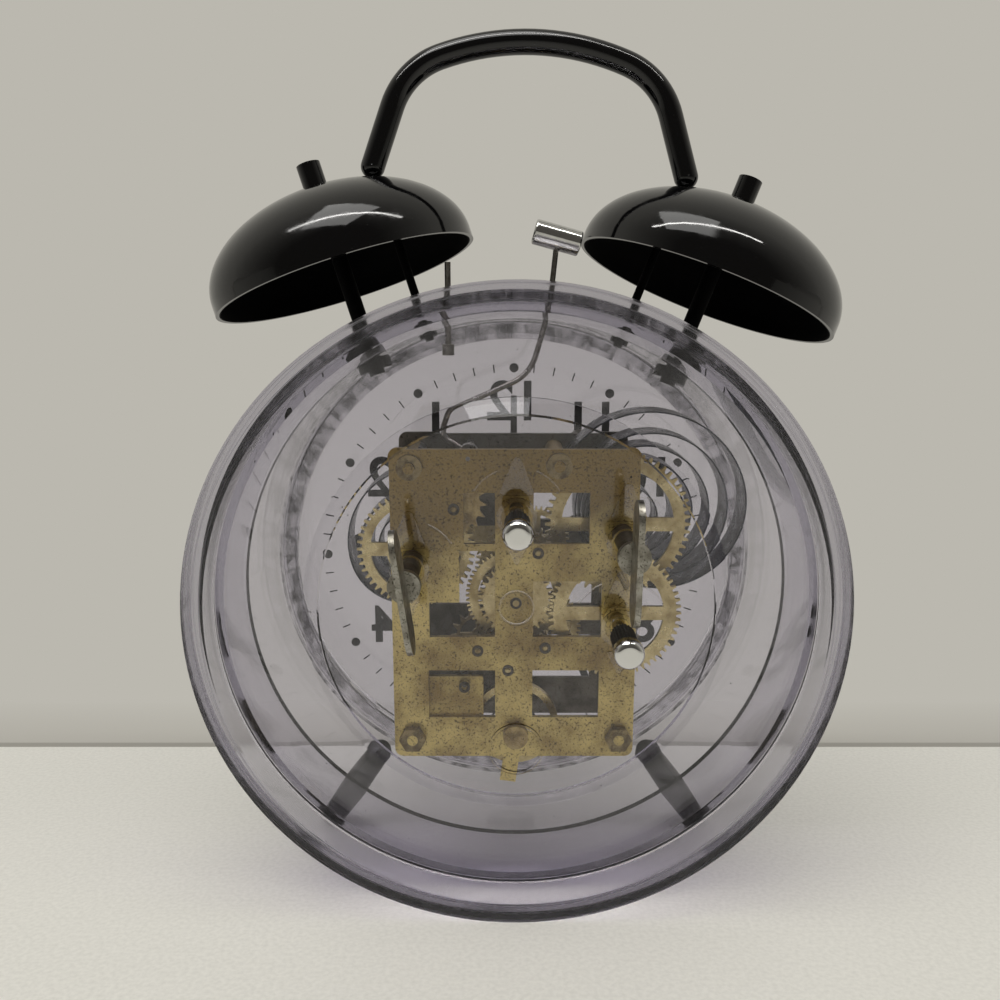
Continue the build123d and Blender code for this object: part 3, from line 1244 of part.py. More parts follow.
print("overall size", [round(end - start, 1) for start, end in zip(low, high)])
print("least gap of the time mainspring", round(least_gap(time_spring_arcs, SPRING_STRIP), 3))
print("least gap of the alarm mainspring", round(least_gap(alarm_spring_arcs, SPRING_STRIP), 3))
print("least gap of the hairspring", round(least_gap(hairspring_arcs, HAIRSPRING_STRIP), 3))

os.makedirs("parts", exist_ok=True)
for name, pieces in standing.items():
    placed = [shift * piece for piece in pieces]
    export_step(placed[0] if len(placed) == 1 else Compound(children=placed), "parts/" + name + ".step")
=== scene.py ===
# %% [markdown]
# # Twin bell alarm clock in a clear case
# The clock is seen from behind, through its clear rear cover. The solid shapes come from the CAD
# model, which is loaded as a fixed frame in metres. This lesson gives every solid the finish of the
# real material, prints the dial, raises the small marks on the cover and the plate, and sets up the
# counter, the light and the camera.

import json
from math import cos, pi, radians, sin

import bmesh
import bpy
from mathutils import Matrix, Vector


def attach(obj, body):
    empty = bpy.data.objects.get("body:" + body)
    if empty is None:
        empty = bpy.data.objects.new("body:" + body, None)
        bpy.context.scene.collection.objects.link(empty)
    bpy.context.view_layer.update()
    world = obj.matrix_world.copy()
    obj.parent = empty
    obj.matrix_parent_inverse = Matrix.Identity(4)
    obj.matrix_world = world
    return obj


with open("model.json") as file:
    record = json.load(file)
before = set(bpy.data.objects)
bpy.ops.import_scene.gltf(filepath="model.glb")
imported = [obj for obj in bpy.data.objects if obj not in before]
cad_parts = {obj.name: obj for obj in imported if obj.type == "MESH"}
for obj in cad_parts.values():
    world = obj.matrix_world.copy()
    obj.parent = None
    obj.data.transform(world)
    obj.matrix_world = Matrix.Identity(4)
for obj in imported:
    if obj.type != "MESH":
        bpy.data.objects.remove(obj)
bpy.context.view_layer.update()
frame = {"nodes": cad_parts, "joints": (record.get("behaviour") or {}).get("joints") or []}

# %% [markdown]
# ## The clock's own directions
# The clock leans back on its rim. It is easier to place pieces in its own directions: x to the right
# of somebody who faces the dial, y up the dial, and z forward along the axis, in millimetres. One
# matrix turns them upright and into metres. It is applied to the mesh, so every object stays at the
# origin, as the CAD nodes do.

# %% Own directions
MM = 0.001
LEAN = radians(5.0)
UPRIGHT = radians(90.0)
AXIS_PLACE = Vector((1.26175, 21.3703, 57.2812))

own = Matrix.Scale(MM, 4) @ Matrix.Translation(AXIS_PLACE)
own = own @ Matrix.Rotation(UPRIGHT - LEAN, 4, "X")
axis = (own.to_3x3() @ Vector((0.0, 0.0, 1.0))).normalized()
print("axis of the clock:", [round(v, 4) for v in axis])

# %% [markdown]
# ## Camera
# The picture was taken from about 19 cm behind the middle of the clock and a little above it, pitched
# down about 7 degrees. The distance matters: so near, the rear rim looks much larger than the dial
# in front of it. The small shift upwards only frames the picture.

# %% Camera
CAMERA_PLACE = Vector((4.16, 189.07, 99.32)) * MM
CAMERA_PITCH = radians(7.27)
CAMERA_LENS = 36.14
CAMERA_SHIFT = 0.004
CAMERA_NEAR = 10.0 * MM
FACING_DIAL_SIDE = radians(180.0)

camera_data = bpy.data.cameras.new("camera")
camera_data.lens = CAMERA_LENS
camera_data.shift_y = CAMERA_SHIFT
camera_data.clip_start = CAMERA_NEAR
camera = bpy.data.objects.new("camera", camera_data)
camera.location = CAMERA_PLACE
camera.rotation_euler = (UPRIGHT - CAMERA_PITCH, 0.0, FACING_DIAL_SIDE)
bpy.context.collection.objects.link(camera)
bpy.context.scene.camera = camera
print("camera stands", round(CAMERA_PLACE.y / MM), "mm behind the middle of the clock")

# %% [markdown]
# ## Nodes and colours
# A colour is written as it is read from a picture, in sRGB, and one function turns it to the linear
# values that Blender works with. One small function adds a shader node with its settings and links.
# The Mix node has three sockets called A, one for each kind of value, so its colour sockets are
# reached by number.

# %% Colours
SRGB_LINE_END = 0.04045
SRGB_LINE_SLOPE = 12.92
SRGB_OFFSET = 0.055
SRGB_POWER = 2.4


def linear(code):
    parts = [int(code[i:i + 2], 16) / 255.0 for i in (1, 3, 5)]
    bent = [((part + SRGB_OFFSET) / (1.0 + SRGB_OFFSET)) ** SRGB_POWER for part in parts]
    straight = [part / SRGB_LINE_SLOPE for part in parts]
    return [low if part <= SRGB_LINE_END else high
            for part, low, high in zip(parts, straight, bent)] + [1.0]


print("a mid grey is", [round(v, 3) for v in linear("#808080")[:3]])

# %% Node helper
MIX_SHARE = 0
MIX_FIRST = 6
MIX_SECOND = 7
MIX_COLOUR = 2


def add(tree, kind, sockets=None, **settings):
    made = tree.nodes.new(kind)
    for name, value in settings.items():
        setattr(made, name, value)
    for socket, value in (sockets or {}).items():
        if isinstance(value, bpy.types.NodeSocket):
            tree.links.new(value, made.inputs[socket])
        else:
            made.inputs[socket].default_value = value
    return made


def new_material(name):
    material = bpy.data.materials.new(name)
    material.use_nodes = True
    material.node_tree.nodes.clear()
    return material, material.node_tree


print("the colour sockets of a Mix node are", MIX_FIRST, "and", MIX_SECOND)

# %% [markdown]
# ## Clear polystyrene of the case
# The drum, the rear cover, the dial and the lens are injection moulded in clear polystyrene. It is
# cheap and hard, so it is nearly as clear as glass, and light that goes a long way through it, as in
# the thick rim, comes out violet grey.

# %% Wear on the plastic
# Years of dusting leave hair scratches that run up and down, and hands leave faint smears.
SCRATCH_SPACING = 0.9 * MM
SCRATCH_STRETCH = (1.0, 1.0, 0.06)
SCRATCH_BAND = (0.64, 0.78)
SCRATCH_ROUGHNESS = 0.10
SMEARS_PER_METRE = 60.0
SMEAR_BAND = (0.55, 0.8)
SMEAR_ROUGHNESS = 0.02


def wiped_roughness(tree, place, haze):
    along = add(tree, "ShaderNodeMapping", {"Vector": place, "Scale": SCRATCH_STRETCH})
    scratches = add(tree, "ShaderNodeTexNoise", {
        "Vector": along.outputs["Vector"], "Scale": 1.0 / SCRATCH_SPACING, "Detail": 2.0})
    scratched = add(tree, "ShaderNodeMapRange", {
        "Value": scratches.outputs["Fac"], "From Min": SCRATCH_BAND[0], "From Max": SCRATCH_BAND[1],
        "To Min": haze, "To Max": haze + SCRATCH_ROUGHNESS})
    smears = add(tree, "ShaderNodeTexNoise", {
        "Vector": place, "Scale": SMEARS_PER_METRE, "Detail": 3.0})
    smeared = add(tree, "ShaderNodeMapRange", {
        "Value": smears.outputs["Fac"], "From Min": SMEAR_BAND[0], "From Max": SMEAR_BAND[1],
        "To Min": 0.0, "To Max": SMEAR_ROUGHNESS})
    return add(tree, "ShaderNodeMath", {
        0: scratched.outputs["Result"], 1: smeared.outputs["Result"]}, operation="ADD").outputs["Value"]


print("scratches are", SCRATCH_SPACING / MM, "mm apart")

# %% Frosted rim with painted shade
# The turned mould and the wear of a shelf leave the back of the rim frosted in fine circles, which
# raise its roughness. The same share paints shade into the rim's colour: its violet grey and its grey
# circles stand in for the dimming of light in the thick rim. The circles follow the distance from the
# clock's axis, and begin where the rim does.
RIM_FROM = 53.4 * MM
RIM_EDGE = 0.3 * MM
RIM_LINE_SPACING = 1.35 * MM
RIM_RIDGE_FROM = 0.5
RIM_LEAST_FROST_AND_SHADE = 0.25


def rim_frosting(tree, place, rim_frost_and_shade):
    from_axis = add(tree, "ShaderNodeMapping", {
        "Vector": place, "Location": AXIS_PLACE * MM, "Rotation": own.to_euler()}, vector_type="TEXTURE")
    across = add(tree, "ShaderNodeVectorMath", {
        0: from_axis.outputs["Vector"], 1: (1.0, 1.0, 0.0)}, operation="MULTIPLY")
    radius = add(tree, "ShaderNodeVectorMath", {0: across.outputs["Vector"]}, operation="LENGTH")
    on_rim = add(tree, "ShaderNodeMapRange", {
        "Value": radius.outputs["Value"], "From Min": RIM_FROM, "From Max": RIM_FROM + RIM_EDGE,
        "To Min": 0.0, "To Max": rim_frost_and_shade})
    turns = add(tree, "ShaderNodeMath", {
        0: radius.outputs["Value"], 1: 2 * pi / RIM_LINE_SPACING}, operation="MULTIPLY")
    wave = add(tree, "ShaderNodeMath", {0: turns.outputs["Value"]}, operation="SINE")
    ridge = add(tree, "ShaderNodeMapRange", {
        "Value": wave.outputs["Value"], "From Min": RIM_RIDGE_FROM, "From Max": 1.0,
        "To Min": RIM_LEAST_FROST_AND_SHADE, "To Max": 1.0})
    return add(tree, "ShaderNodeMath", {
        0: on_rim.outputs["Result"], 1: ridge.outputs["Result"]}, operation="MULTIPLY").outputs["Value"]


print("circles on the rim are", RIM_LINE_SPACING / MM, "mm apart")

# %% Dust
# Specks are small spheres round scattered points, and a slow pattern says where they are large.
DUST_SPACING = 2.2 * MM
DUST_PATCHES_PER_METRE = 150.0
DUST_BAND = (0.55, 0.8)
DUST_LARGEST = 0.11


def dust_specks(tree, place):
    dust = add(tree, "ShaderNodeTexVoronoi", {"Vector": place, "Scale": 1.0 / DUST_SPACING})
    patches = add(tree, "ShaderNodeTexNoise", {
        "Vector": place, "Scale": DUST_PATCHES_PER_METRE, "Detail": 2.0})
    limit = add(tree, "ShaderNodeMapRange", {
        "Value": patches.outputs["Fac"], "From Min": DUST_BAND[0], "From Max": DUST_BAND[1],
        "To Min": 0.0, "To Max": DUST_LARGEST})
    return add(tree, "ShaderNodeMath", {
        0: dust.outputs["Distance"], 1: limit.outputs["Result"]}, operation="LESS_THAN").outputs["Value"]


print("dust specks are up to", round(2 * DUST_LARGEST * DUST_SPACING / MM, 2), "mm across")

# %% [markdown]
# Light passes through the plastic as through a transparent sheet, because a path tracer would
# otherwise leave the movement in the dark: the shader is mixed with plain transparency for shadow
# rays only. The violet of the thick places comes from a volume that takes up light on its way, and on
# the rim also from painted shade in the base colour.

# %% Clear polystyrene
POLYSTYRENE_IOR = 1.49
MOULD_RING = 0.55 * MM
MOULD_RELIEF = 0.01 * MM
MOULD_STRENGTH = 0.01


def clear_polystyrene(name, depth_tint, depth_density, haze, rim_frost_and_shade):
    material, tree = new_material(name)
    place = add(tree, "ShaderNodeTexCoord").outputs["Object"]
    frost_and_shade = rim_frosting(tree, place, rim_frost_and_shade)
    rough = add(tree, "ShaderNodeMath", {0: wiped_roughness(tree, place, haze), 1: frost_and_shade}, operation="ADD")
    # On the rim the base colour turns violet grey by the same share: painted shade for the dimming of
    # light in the thick rim.
    tint = add(tree, "ShaderNodeMix", {
        MIX_SHARE: frost_and_shade, MIX_FIRST: linear("#f4f3f7"), MIX_SECOND: linear("#7d768f")}, data_type="RGBA")
    rings = add(tree, "ShaderNodeTexNoise", {"Vector": place, "Scale": 1.0 / MOULD_RING, "Detail": 1.0})
    bump = add(tree, "ShaderNodeBump", {
        "Height": rings.outputs["Fac"], "Strength": MOULD_STRENGTH, "Distance": MOULD_RELIEF})
    clear = add(tree, "ShaderNodeBsdfPrincipled", {
        "Base Color": tint.outputs[MIX_COLOUR], "Roughness": rough.outputs["Value"],
        "IOR": POLYSTYRENE_IOR, "Transmission Weight": 1.0, "Normal": bump.outputs["Normal"]})
    specks = add(tree, "ShaderNodeBsdfPrincipled", {"Base Color": linear("#2a2826"), "Roughness": 0.9})
    surface = add(tree, "ShaderNodeMixShader", {
        0: dust_specks(tree, place), 1: clear.outputs["BSDF"], 2: specks.outputs["BSDF"]})
    shadow = add(tree, "ShaderNodeBsdfTransparent", {"Color": linear("#f1f0f4")})
    path = add(tree, "ShaderNodeLightPath")
    mixed = add(tree, "ShaderNodeMixShader", {
        0: path.outputs["Is Shadow Ray"], 1: surface.outputs["Shader"], 2: shadow.outputs["BSDF"]})
    depth = add(tree, "ShaderNodeVolumeAbsorption", {
        "Color": linear(depth_tint), "Density": depth_density})
    add(tree, "ShaderNodeOutputMaterial", {
        "Surface": mixed.outputs["Shader"], "Volume": depth.outputs["Volume"]})
    return material


case_plastic = clear_polystyrene("clear_polystyrene_case", "#a29cb6", 55.0, 0.004, 0.30)
sheet_plastic = clear_polystyrene("clear_polystyrene_sheet", "#bcbac0", 22.0, 0.003, 0.0)
print("clear plastics:", case_plastic.name, sheet_plastic.name)

# %% [markdown]
# ## Stoved black enamel
# The bells, the handle, the posts and the legs are steel with a thick gloss black enamel. It levels
# to a mirror with a very slight orange peel, so the eye sees sharp bright lines with wavy edges, and a
# grey film of dust where nobody wipes it. The inside of a bell gets only a thin dry coat, which is
# matt. The two sides belong to one solid, so the shader tells them apart by place: a surface half way
# through the bell's wall is an ellipsoid, and what lies inside it is the matt side.

# %% Crown of the clock
CROWN_PLACE = Vector((0.0, 0.0, 22.4))
CROWN_TILT = radians(7.0)
CROWN_ROLL = radians(1.9)
BELL_CENTRE = (33.55, 56.85)
BELL_TILT = radians(20.0)
BELL_MIDDLE_WALL = Vector((24.55, 14.55, 24.55))
BELL_SKIRT = 2.0
SIDES = (-1, 1)

crown = own @ Matrix.Translation(CROWN_PLACE) @ Matrix.Rotation(CROWN_TILT, 4, "X")
crown = crown @ Matrix.Rotation(CROWN_ROLL, 4, "Z")


def bell_matrix(side):
    centre = Vector((side * BELL_CENTRE[0], BELL_CENTRE[1], 0.0))
    turned = crown @ Matrix.Translation(centre) @ Matrix.Rotation(-side * BELL_TILT, 4, "Z")
    return turned @ Matrix.Translation((0.0, BELL_SKIRT, 0.0))


for side in SIDES:
    print("a bell stands at", tuple(round(v / MM, 1) for v in bell_matrix(side).translation))

# %% Inside of a bell
def inside_bell(tree, place, side):
    half_wall = bell_matrix(side)
    local = add(tree, "ShaderNodeMapping", {
        "Vector": place, "Location": half_wall.translation, "Rotation": half_wall.to_euler(),
        "Scale": BELL_MIDDLE_WALL * MM}, vector_type="TEXTURE")
    reach = add(tree, "ShaderNodeVectorMath", {0: local.outputs["Vector"]}, operation="LENGTH")
    inside = add(tree, "ShaderNodeMath", {0: reach.outputs["Value"], 1: 1.0}, operation="LESS_THAN")
    return inside.outputs["Value"]


# %% Black enamel
ORANGE_PEEL = 1.6 * MM
PEEL_RELIEF = 0.03 * MM
PEEL_STRENGTH = 0.05
DUST_FILM = 6.0 * MM
FILM_BAND = (0.45, 0.75)
GLOSS_ROUGHNESS = (0.06, 0.2)
GRIT_SPACING = 1.7 * MM
GRIT_SIZE = 0.045
ENAMEL_IOR = 1.5
DRY_ROUGHNESS = 0.7
DRY_IOR = 1.4
DRY_SPECULAR = 0.1

black_enamel, tree = new_material("gloss_black_enamel")
place = add(tree, "ShaderNodeTexCoord").outputs["Object"]
peel = add(tree, "ShaderNodeTexNoise", {"Vector": place, "Scale": 1.0 / ORANGE_PEEL, "Detail": 1.0})
peel_bump = add(tree, "ShaderNodeBump", {
    "Height": peel.outputs["Fac"], "Strength": PEEL_STRENGTH, "Distance": PEEL_RELIEF})
film = add(tree, "ShaderNodeTexNoise", {
    "Vector": place, "Scale": 1.0 / DUST_FILM, "Detail": 6.0, "Roughness": 0.7})
film_rough = add(tree, "ShaderNodeMapRange", {
    "Value": film.outputs["Fac"], "From Min": FILM_BAND[0], "From Max": FILM_BAND[1],
    "To Min": GLOSS_ROUGHNESS[0], "To Max": GLOSS_ROUGHNESS[1]})
grit = add(tree, "ShaderNodeTexVoronoi", {"Vector": place, "Scale": 1.0 / GRIT_SPACING})
grit_spot = add(tree, "ShaderNodeMath", {0: grit.outputs["Distance"], 1: GRIT_SIZE}, operation="LESS_THAN")
enamel_colour = add(tree, "ShaderNodeMix", {
    MIX_SHARE: grit_spot.outputs["Value"], MIX_FIRST: linear("#030304"),
    MIX_SECOND: linear("#242322")}, data_type="RGBA").outputs[MIX_COLOUR]
gloss_coat = add(tree, "ShaderNodeBsdfPrincipled", {
    "Base Color": enamel_colour, "Roughness": film_rough.outputs["Result"], "IOR": ENAMEL_IOR,
    "Normal": peel_bump.outputs["Normal"]})
dry_coat = add(tree, "ShaderNodeBsdfPrincipled", {
    "Base Color": enamel_colour, "Roughness": DRY_ROUGHNESS, "IOR": DRY_IOR,
    "Specular IOR Level": DRY_SPECULAR})
inside = add(tree, "ShaderNodeMath", {
    0: inside_bell(tree, place, -1), 1: inside_bell(tree, place, 1)}, operation="MAXIMUM")
enamel = add(tree, "ShaderNodeMixShader", {
    0: inside.outputs["Value"], 1: gloss_coat.outputs["BSDF"], 2: dry_coat.outputs["BSDF"]})
add(tree, "ShaderNodeOutputMaterial", {"Surface": enamel.outputs["Shader"]})
print("enamel:", black_enamel.name)

# %% [markdown]
# ## Metals
# All the metals are one kind of shader: metallic 1, a base colour, and a roughness that comes from how
# the surface was finished. What tells them apart is the pattern. Sheet brass that was never lacquered
# tarnishes in cloudy patches, olive gold with brown islands, and carries fine dark pits. Plated steel
# is even and only lightly pitted. Spring steel is blue grey from its hardening and has streaks of oil.
# One function lays two patterns over a base colour: large patches of tarnish and small pits. Patch and
# pit sizes are real sizes in millimetres, read off the plate against the width of its nuts. For the plate
# brass the tarnish share also grows with height, so the upper part of the rear plate is darker and
# browner.

# %% Tarnish
PLATE_MIDDLE = 66.0 * MM
PLATE_TOP = 84.0 * MM
PATCH_BAND = (0.42, 0.62)


def tarnish_share(tree, place, patches, upper):
    height = add(tree, "ShaderNodeSeparateXYZ", {"Vector": place}).outputs["Z"]
    above = add(tree, "ShaderNodeMapRange", {
        "Value": height, "From Min": PLATE_MIDDLE, "From Max": PLATE_TOP, "To Min": 0.0, "To Max": upper})
    spread = add(tree, "ShaderNodeMath", {0: patches, 1: above.outputs["Result"]}, operation="ADD")
    return add(tree, "ShaderNodeMapRange", {
        "Value": spread.outputs["Value"], "From Min": PATCH_BAND[0], "From Max": PATCH_BAND[1],
        "To Min": 0.0, "To Max": 1.0}).outputs["Result"]


print("the plate is brown above", PLATE_MIDDLE / MM, "mm")

# %% Metals
PIT_LIMIT = 0.66
PIT_EDGE = 0.08
PIT_DEPTH = 0.04 * MM
PIT_COVER = 0.85
ROUGH_BAND = (0.38, 0.66)


def tarnished_metal(name, bright, tarnish, pit, patch_mm, pit_mm, pit_share, smooth, dull, relief,
                    upper=0.0):
    material, tree = new_material(name)
    place = add(tree, "ShaderNodeTexCoord").outputs["Object"]
    patches = add(tree, "ShaderNodeTexNoise", {
        "Vector": place, "Scale": 1.0 / (patch_mm * MM), "Detail": 5.0, "Roughness": 0.62}).outputs["Fac"]
    patch_colour = add(tree, "ShaderNodeMix", {
        MIX_SHARE: tarnish_share(tree, place, patches, upper), MIX_FIRST: linear(bright),
        MIX_SECOND: linear(tarnish)}, data_type="RGBA").outputs[MIX_COLOUR]
    pits = add(tree, "ShaderNodeTexNoise", {
        "Vector": place, "Scale": 1.0 / (pit_mm * MM), "Detail": 3.0, "Roughness": 0.7}).outputs["Fac"]
    pit_mask = add(tree, "ShaderNodeMapRange", {
        "Value": pits, "From Min": PIT_LIMIT - pit_share, "From Max": PIT_LIMIT + PIT_EDGE - pit_share,
        "To Min": 0.0, "To Max": PIT_COVER})
    colour = add(tree, "ShaderNodeMix", {
        MIX_SHARE: pit_mask.outputs["Result"], MIX_FIRST: patch_colour,
        MIX_SECOND: linear(pit)}, data_type="RGBA").outputs[MIX_COLOUR]
    rough = add(tree, "ShaderNodeMapRange", {
        "Value": patches, "From Min": ROUGH_BAND[0], "From Max": ROUGH_BAND[1],
        "To Min": smooth, "To Max": dull})
    bump = add(tree, "ShaderNodeBump", {"Height": pits, "Strength": relief, "Distance": PIT_DEPTH})
    shader = add(tree, "ShaderNodeBsdfPrincipled", {
        "Base Color": colour, "Metallic": 1.0, "Roughness": rough.outputs["Result"],
        "Normal": bump.outputs["Normal"]})
    add(tree, "ShaderNodeOutputMaterial", {"Surface": shader.outputs["BSDF"]})
    return material


plate_brass = tarnished_metal("unlacquered_sheet_brass", "#d9c57e", "#97804a", "#4a3d25",
                              15.0, 0.42, 0.11, 0.32, 0.46, 0.7, upper=0.30)
wheel_brass = tarnished_metal("hobbed_wheel_brass", "#d6c692", "#b09c68", "#63543a",
                              4.0, 0.5, 0.03, 0.24, 0.42, 0.3)
turned_brass = tarnished_metal("turned_pinion_brass", "#b9a470", "#87734a", "#433722",
                               2.5, 0.5, 0.05, 0.28, 0.45, 0.3)
nut_brass = tarnished_metal("browned_nut_brass", "#9b8b62", "#6a5a3c", "#332a1b",
                            2.0, 0.45, 0.06, 0.30, 0.46, 0.4)
dull_nickel = tarnished_metal("dull_nickel_plate", "#a5a299", "#7f7b71", "#3a362c",
                              2.6, 0.38, 0.11, 0.28, 0.46, 0.8)
bright_chrome = tarnished_metal("bright_chrome_plate", "#d6d6d4", "#c4c4c1", "#7d7b76",
                                4.0, 0.6, -0.03, 0.05, 0.14, 0.1)
spring_steel = tarnished_metal("blued_spring_steel", "#4b4e56", "#33353b", "#1f1e1d",
                               3.5, 0.5, 0.04, 0.22, 0.40, 0.2)
front_steel = tarnished_metal("oiled_sheet_steel", "#6a655a", "#473f33", "#241f19",
                              6.0, 0.6, 0.08, 0.36, 0.55, 0.4)
pin_steel = tarnished_metal("bright_drawn_steel", "#8d8a84", "#6b675f", "#37322b",
                            2.0, 0.4, 0.03, 0.25, 0.42, 0.3)
print("metals:", plate_brass.name, wheel_brass.name, turned_brass.name, nut_brass.name, dull_nickel.name,
      bright_chrome.name, spring_steel.name, front_steel.name, pin_steel.name)

# %% [markdown]
# ## Hands and ink
# The hands are blacked sheet steel, and the figures on the dial are screen printed in matt ink. Both
# are dull, and the steel has rubbed a little grey.

# %% Hands and ink
WORN_BAND = (0.55, 0.75)
DULL_BAND = (0.35, 0.7)
COATING_IOR = 1.5


def dull_black(name, base, worn, grain_mm, rough_low, rough_high):
    material, tree = new_material(name)
    place = add(tree, "ShaderNodeTexCoord").outputs["Object"]
    grain = add(tree, "ShaderNodeTexNoise", {
        "Vector": place, "Scale": 1.0 / (grain_mm * MM), "Detail": 4.0, "Roughness": 0.65}).outputs["Fac"]
    worn_share = add(tree, "ShaderNodeMapRange", {
        "Value": grain, "From Min": WORN_BAND[0], "From Max": WORN_BAND[1], "To Min": 0.0, "To Max": 1.0})
    colour = add(tree, "ShaderNodeMix", {
        MIX_SHARE: worn_share.outputs["Result"], MIX_FIRST: linear(base),
        MIX_SECOND: linear(worn)}, data_type="RGBA").outputs[MIX_COLOUR]
    rough = add(tree, "ShaderNodeMapRange", {
        "Value": grain, "From Min": DULL_BAND[0], "From Max": DULL_BAND[1],
        "To Min": rough_low, "To Max": rough_high})
    shader = add(tree, "ShaderNodeBsdfPrincipled", {
        "Base Color": colour, "Roughness": rough.outputs["Result"], "IOR": COATING_IOR})
    add(tree, "ShaderNodeOutputMaterial", {"Surface": shader.outputs["BSDF"]})
    return material


hand_black = dull_black("blacked_hand_steel", "#111112", "#2a2a2b", 1.2, 0.32, 0.45)
print_ink = dull_black("screen_print_ink", "#161617", "#2b2b2c", 0.8, 0.6, 0.75)
print("blacks:", hand_black.name, print_ink.name)

# %% [markdown]
# ## Knobs
# A knob is a stem of moulded black phenolic, ribbed for the fingers, with a bright chromed button
# pressed on its end. Button and stem are one solid in the model, so the shader looks at how far back
# a point lies along the clock's axis, and is chrome behind the seam and phenolic in front of it.

# %% Knob with a chromed button
KNOB_SEAM = -6.6
PHENOLIC_PITS = 0.5 * MM
DUSTY_BAND = (0.52, 0.75)
STEM_ROUGHNESS = 0.45
STEM_IOR = 1.55
BUTTON_BAND = (0.4, 0.7)
BUTTON_ROUGHNESS = (0.05, 0.16)

knob_finish, tree = new_material("black_phenolic_with_chromed_button")
place = add(tree, "ShaderNodeTexCoord").outputs["Object"]
along = add(tree, "ShaderNodeVectorMath", {0: place, 1: axis}, operation="DOT_PRODUCT")
seam = (AXIS_PLACE * MM).dot(axis) + KNOB_SEAM * MM
behind_seam = add(tree, "ShaderNodeMath", {0: along.outputs["Value"], 1: seam}, operation="LESS_THAN")
pits = add(tree, "ShaderNodeTexNoise", {"Vector": place, "Scale": 1.0 / PHENOLIC_PITS, "Detail": 4.0})
dusty = add(tree, "ShaderNodeMapRange", {
    "Value": pits.outputs["Fac"], "From Min": DUSTY_BAND[0], "From Max": DUSTY_BAND[1],
    "To Min": 0.0, "To Max": 1.0})
stem_colour = add(tree, "ShaderNodeMix", {
    MIX_SHARE: dusty.outputs["Result"], MIX_FIRST: linear("#0c0c0c"),
    MIX_SECOND: linear("#3a3830")}, data_type="RGBA").outputs[MIX_COLOUR]
stem = add(tree, "ShaderNodeBsdfPrincipled", {
    "Base Color": stem_colour, "Roughness": STEM_ROUGHNESS, "IOR": STEM_IOR})
button_rough = add(tree, "ShaderNodeMapRange", {
    "Value": pits.outputs["Fac"], "From Min": BUTTON_BAND[0], "From Max": BUTTON_BAND[1],
    "To Min": BUTTON_ROUGHNESS[0], "To Max": BUTTON_ROUGHNESS[1]})
button = add(tree, "ShaderNodeBsdfPrincipled", {
    "Base Color": linear("#d8d8d6"), "Metallic": 1.0, "Roughness": button_rough.outputs["Result"]})
knob = add(tree, "ShaderNodeMixShader", {
    0: behind_seam.outputs["Value"], 1: stem.outputs["BSDF"], 2: button.outputs["BSDF"]})
add(tree, "ShaderNodeOutputMaterial", {"Surface": knob.outputs["Shader"]})
print("knob finish:", knob_finish.name)

# %% [markdown]
# ## Finishes of the solids
# Each CAD solid gets the finish of the real piece through its material slots. The list is by finish,
# because that is how the parts left their maker: everything enamelled hung on one rack.

# %% Finish of every solid
finish_of = {
    case_plastic: ["rear_cover"],
    sheet_plastic: ["case_drum", "front_lens", "dial_disc"],
    black_enamel: ["left_bell", "right_bell", "left_bell_post", "right_bell_post", "left_cap_nut",
                   "right_cap_nut", "carrying_handle", "stay_nuts", "left_leg", "right_leg", "leg_nuts"],
    plate_brass: ["rear_plate", "regulator_lever", "upper_left_pillar", "upper_right_pillar",
                  "lower_left_pillar", "lower_right_pillar"],
    wheel_brass: ["time_great_wheel", "alarm_great_wheel", "alarm_setting_wheel", "alarm_centre_wheel",
                  "second_wheel", "centre_wheel", "third_wheel", "fourth_wheel", "minute_wheel",
                  "hour_wheel", "balance_wheel"],
    turned_brass: ["escape_wheel", "cannon_pinion", "balance_bush", "alarm_escape_wheel"],
    nut_brass: ["pillar_nuts", "pillar_collars"],
    dull_nickel: ["time_key", "alarm_key"],
    bright_chrome: ["hammer_head"],
    spring_steel: ["time_mainspring", "alarm_mainspring", "hairspring"],
    front_steel: ["front_plate", "dial_feet", "time_winding_arbor", "alarm_winding_arbor"],
    pin_steel: ["alarm_stop_pin", "hammer_arbor", "hammer_wire", "time_set_arbor", "pallet_fork",
                "time_click", "alarm_click"],
    knob_finish: ["time_set_knob", "alarm_set_knob"],
    hand_black: ["minute_hand", "hour_hand", "alarm_hand"],
}
print("finishes:", len(finish_of))

# %% Give every solid its finish
def give_finish(node_name, material):
    solid = frame["nodes"][node_name]
    if not solid.material_slots:
        solid.data.materials.append(material)
    for one_slot in solid.material_slots:
        one_slot.material = material


for material, node_names in finish_of.items():
    for node_name in node_names:
        give_finish(node_name, material)
dressed = {node_name for node_names in finish_of.values() for node_name in node_names}
print("solids without a finish:", sorted(set(frame["nodes"]) - dressed))

# %% [markdown]
# ## Making pieces
# Small flat details, such as printed figures or raised marks, are drawn with mesh operators in the
# clock's own millimetres and then turned into place by one matrix. This helper turns the faces of
# such a mesh outwards, gives it a finish and lets it ride on a body of the clock.

# %% Piece helper
def finish_piece(name, shape, material, body=None):
    bmesh.ops.recalc_face_normals(shape, faces=shape.faces)
    mesh = bpy.data.meshes.new(name)
    shape.to_mesh(mesh)
    shape.free()
    mesh.materials.append(material)
    for face in mesh.polygons:
        face.use_smooth = False
    piece = bpy.data.objects.new(name, mesh)
    bpy.context.collection.objects.link(piece)
    if body:
        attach(piece, body)
    print(name, "has", len(mesh.polygons), "faces")
    return piece


# %% [markdown]
# ## Printing on the dial
# The dial is a clear disc, so its black printing floats in front of the movement and is seen reversed
# from behind. A dot marks each hour, four short strokes between two dots mark the minutes, and upright
# figures stand inside the ring. Ink is a film a few hundredths of a millimetre thick. Round dots come
# from short straight cones, strokes from cubes, and figures from text that is turned into a mesh
# before it is placed.

# %% Figures
DIAL_FACE = 46.62
INK = 0.05
FIGURE_HEIGHT = 11.5
FIGURE_WEIGHT = 0.22
CURVE_STEPS = 6


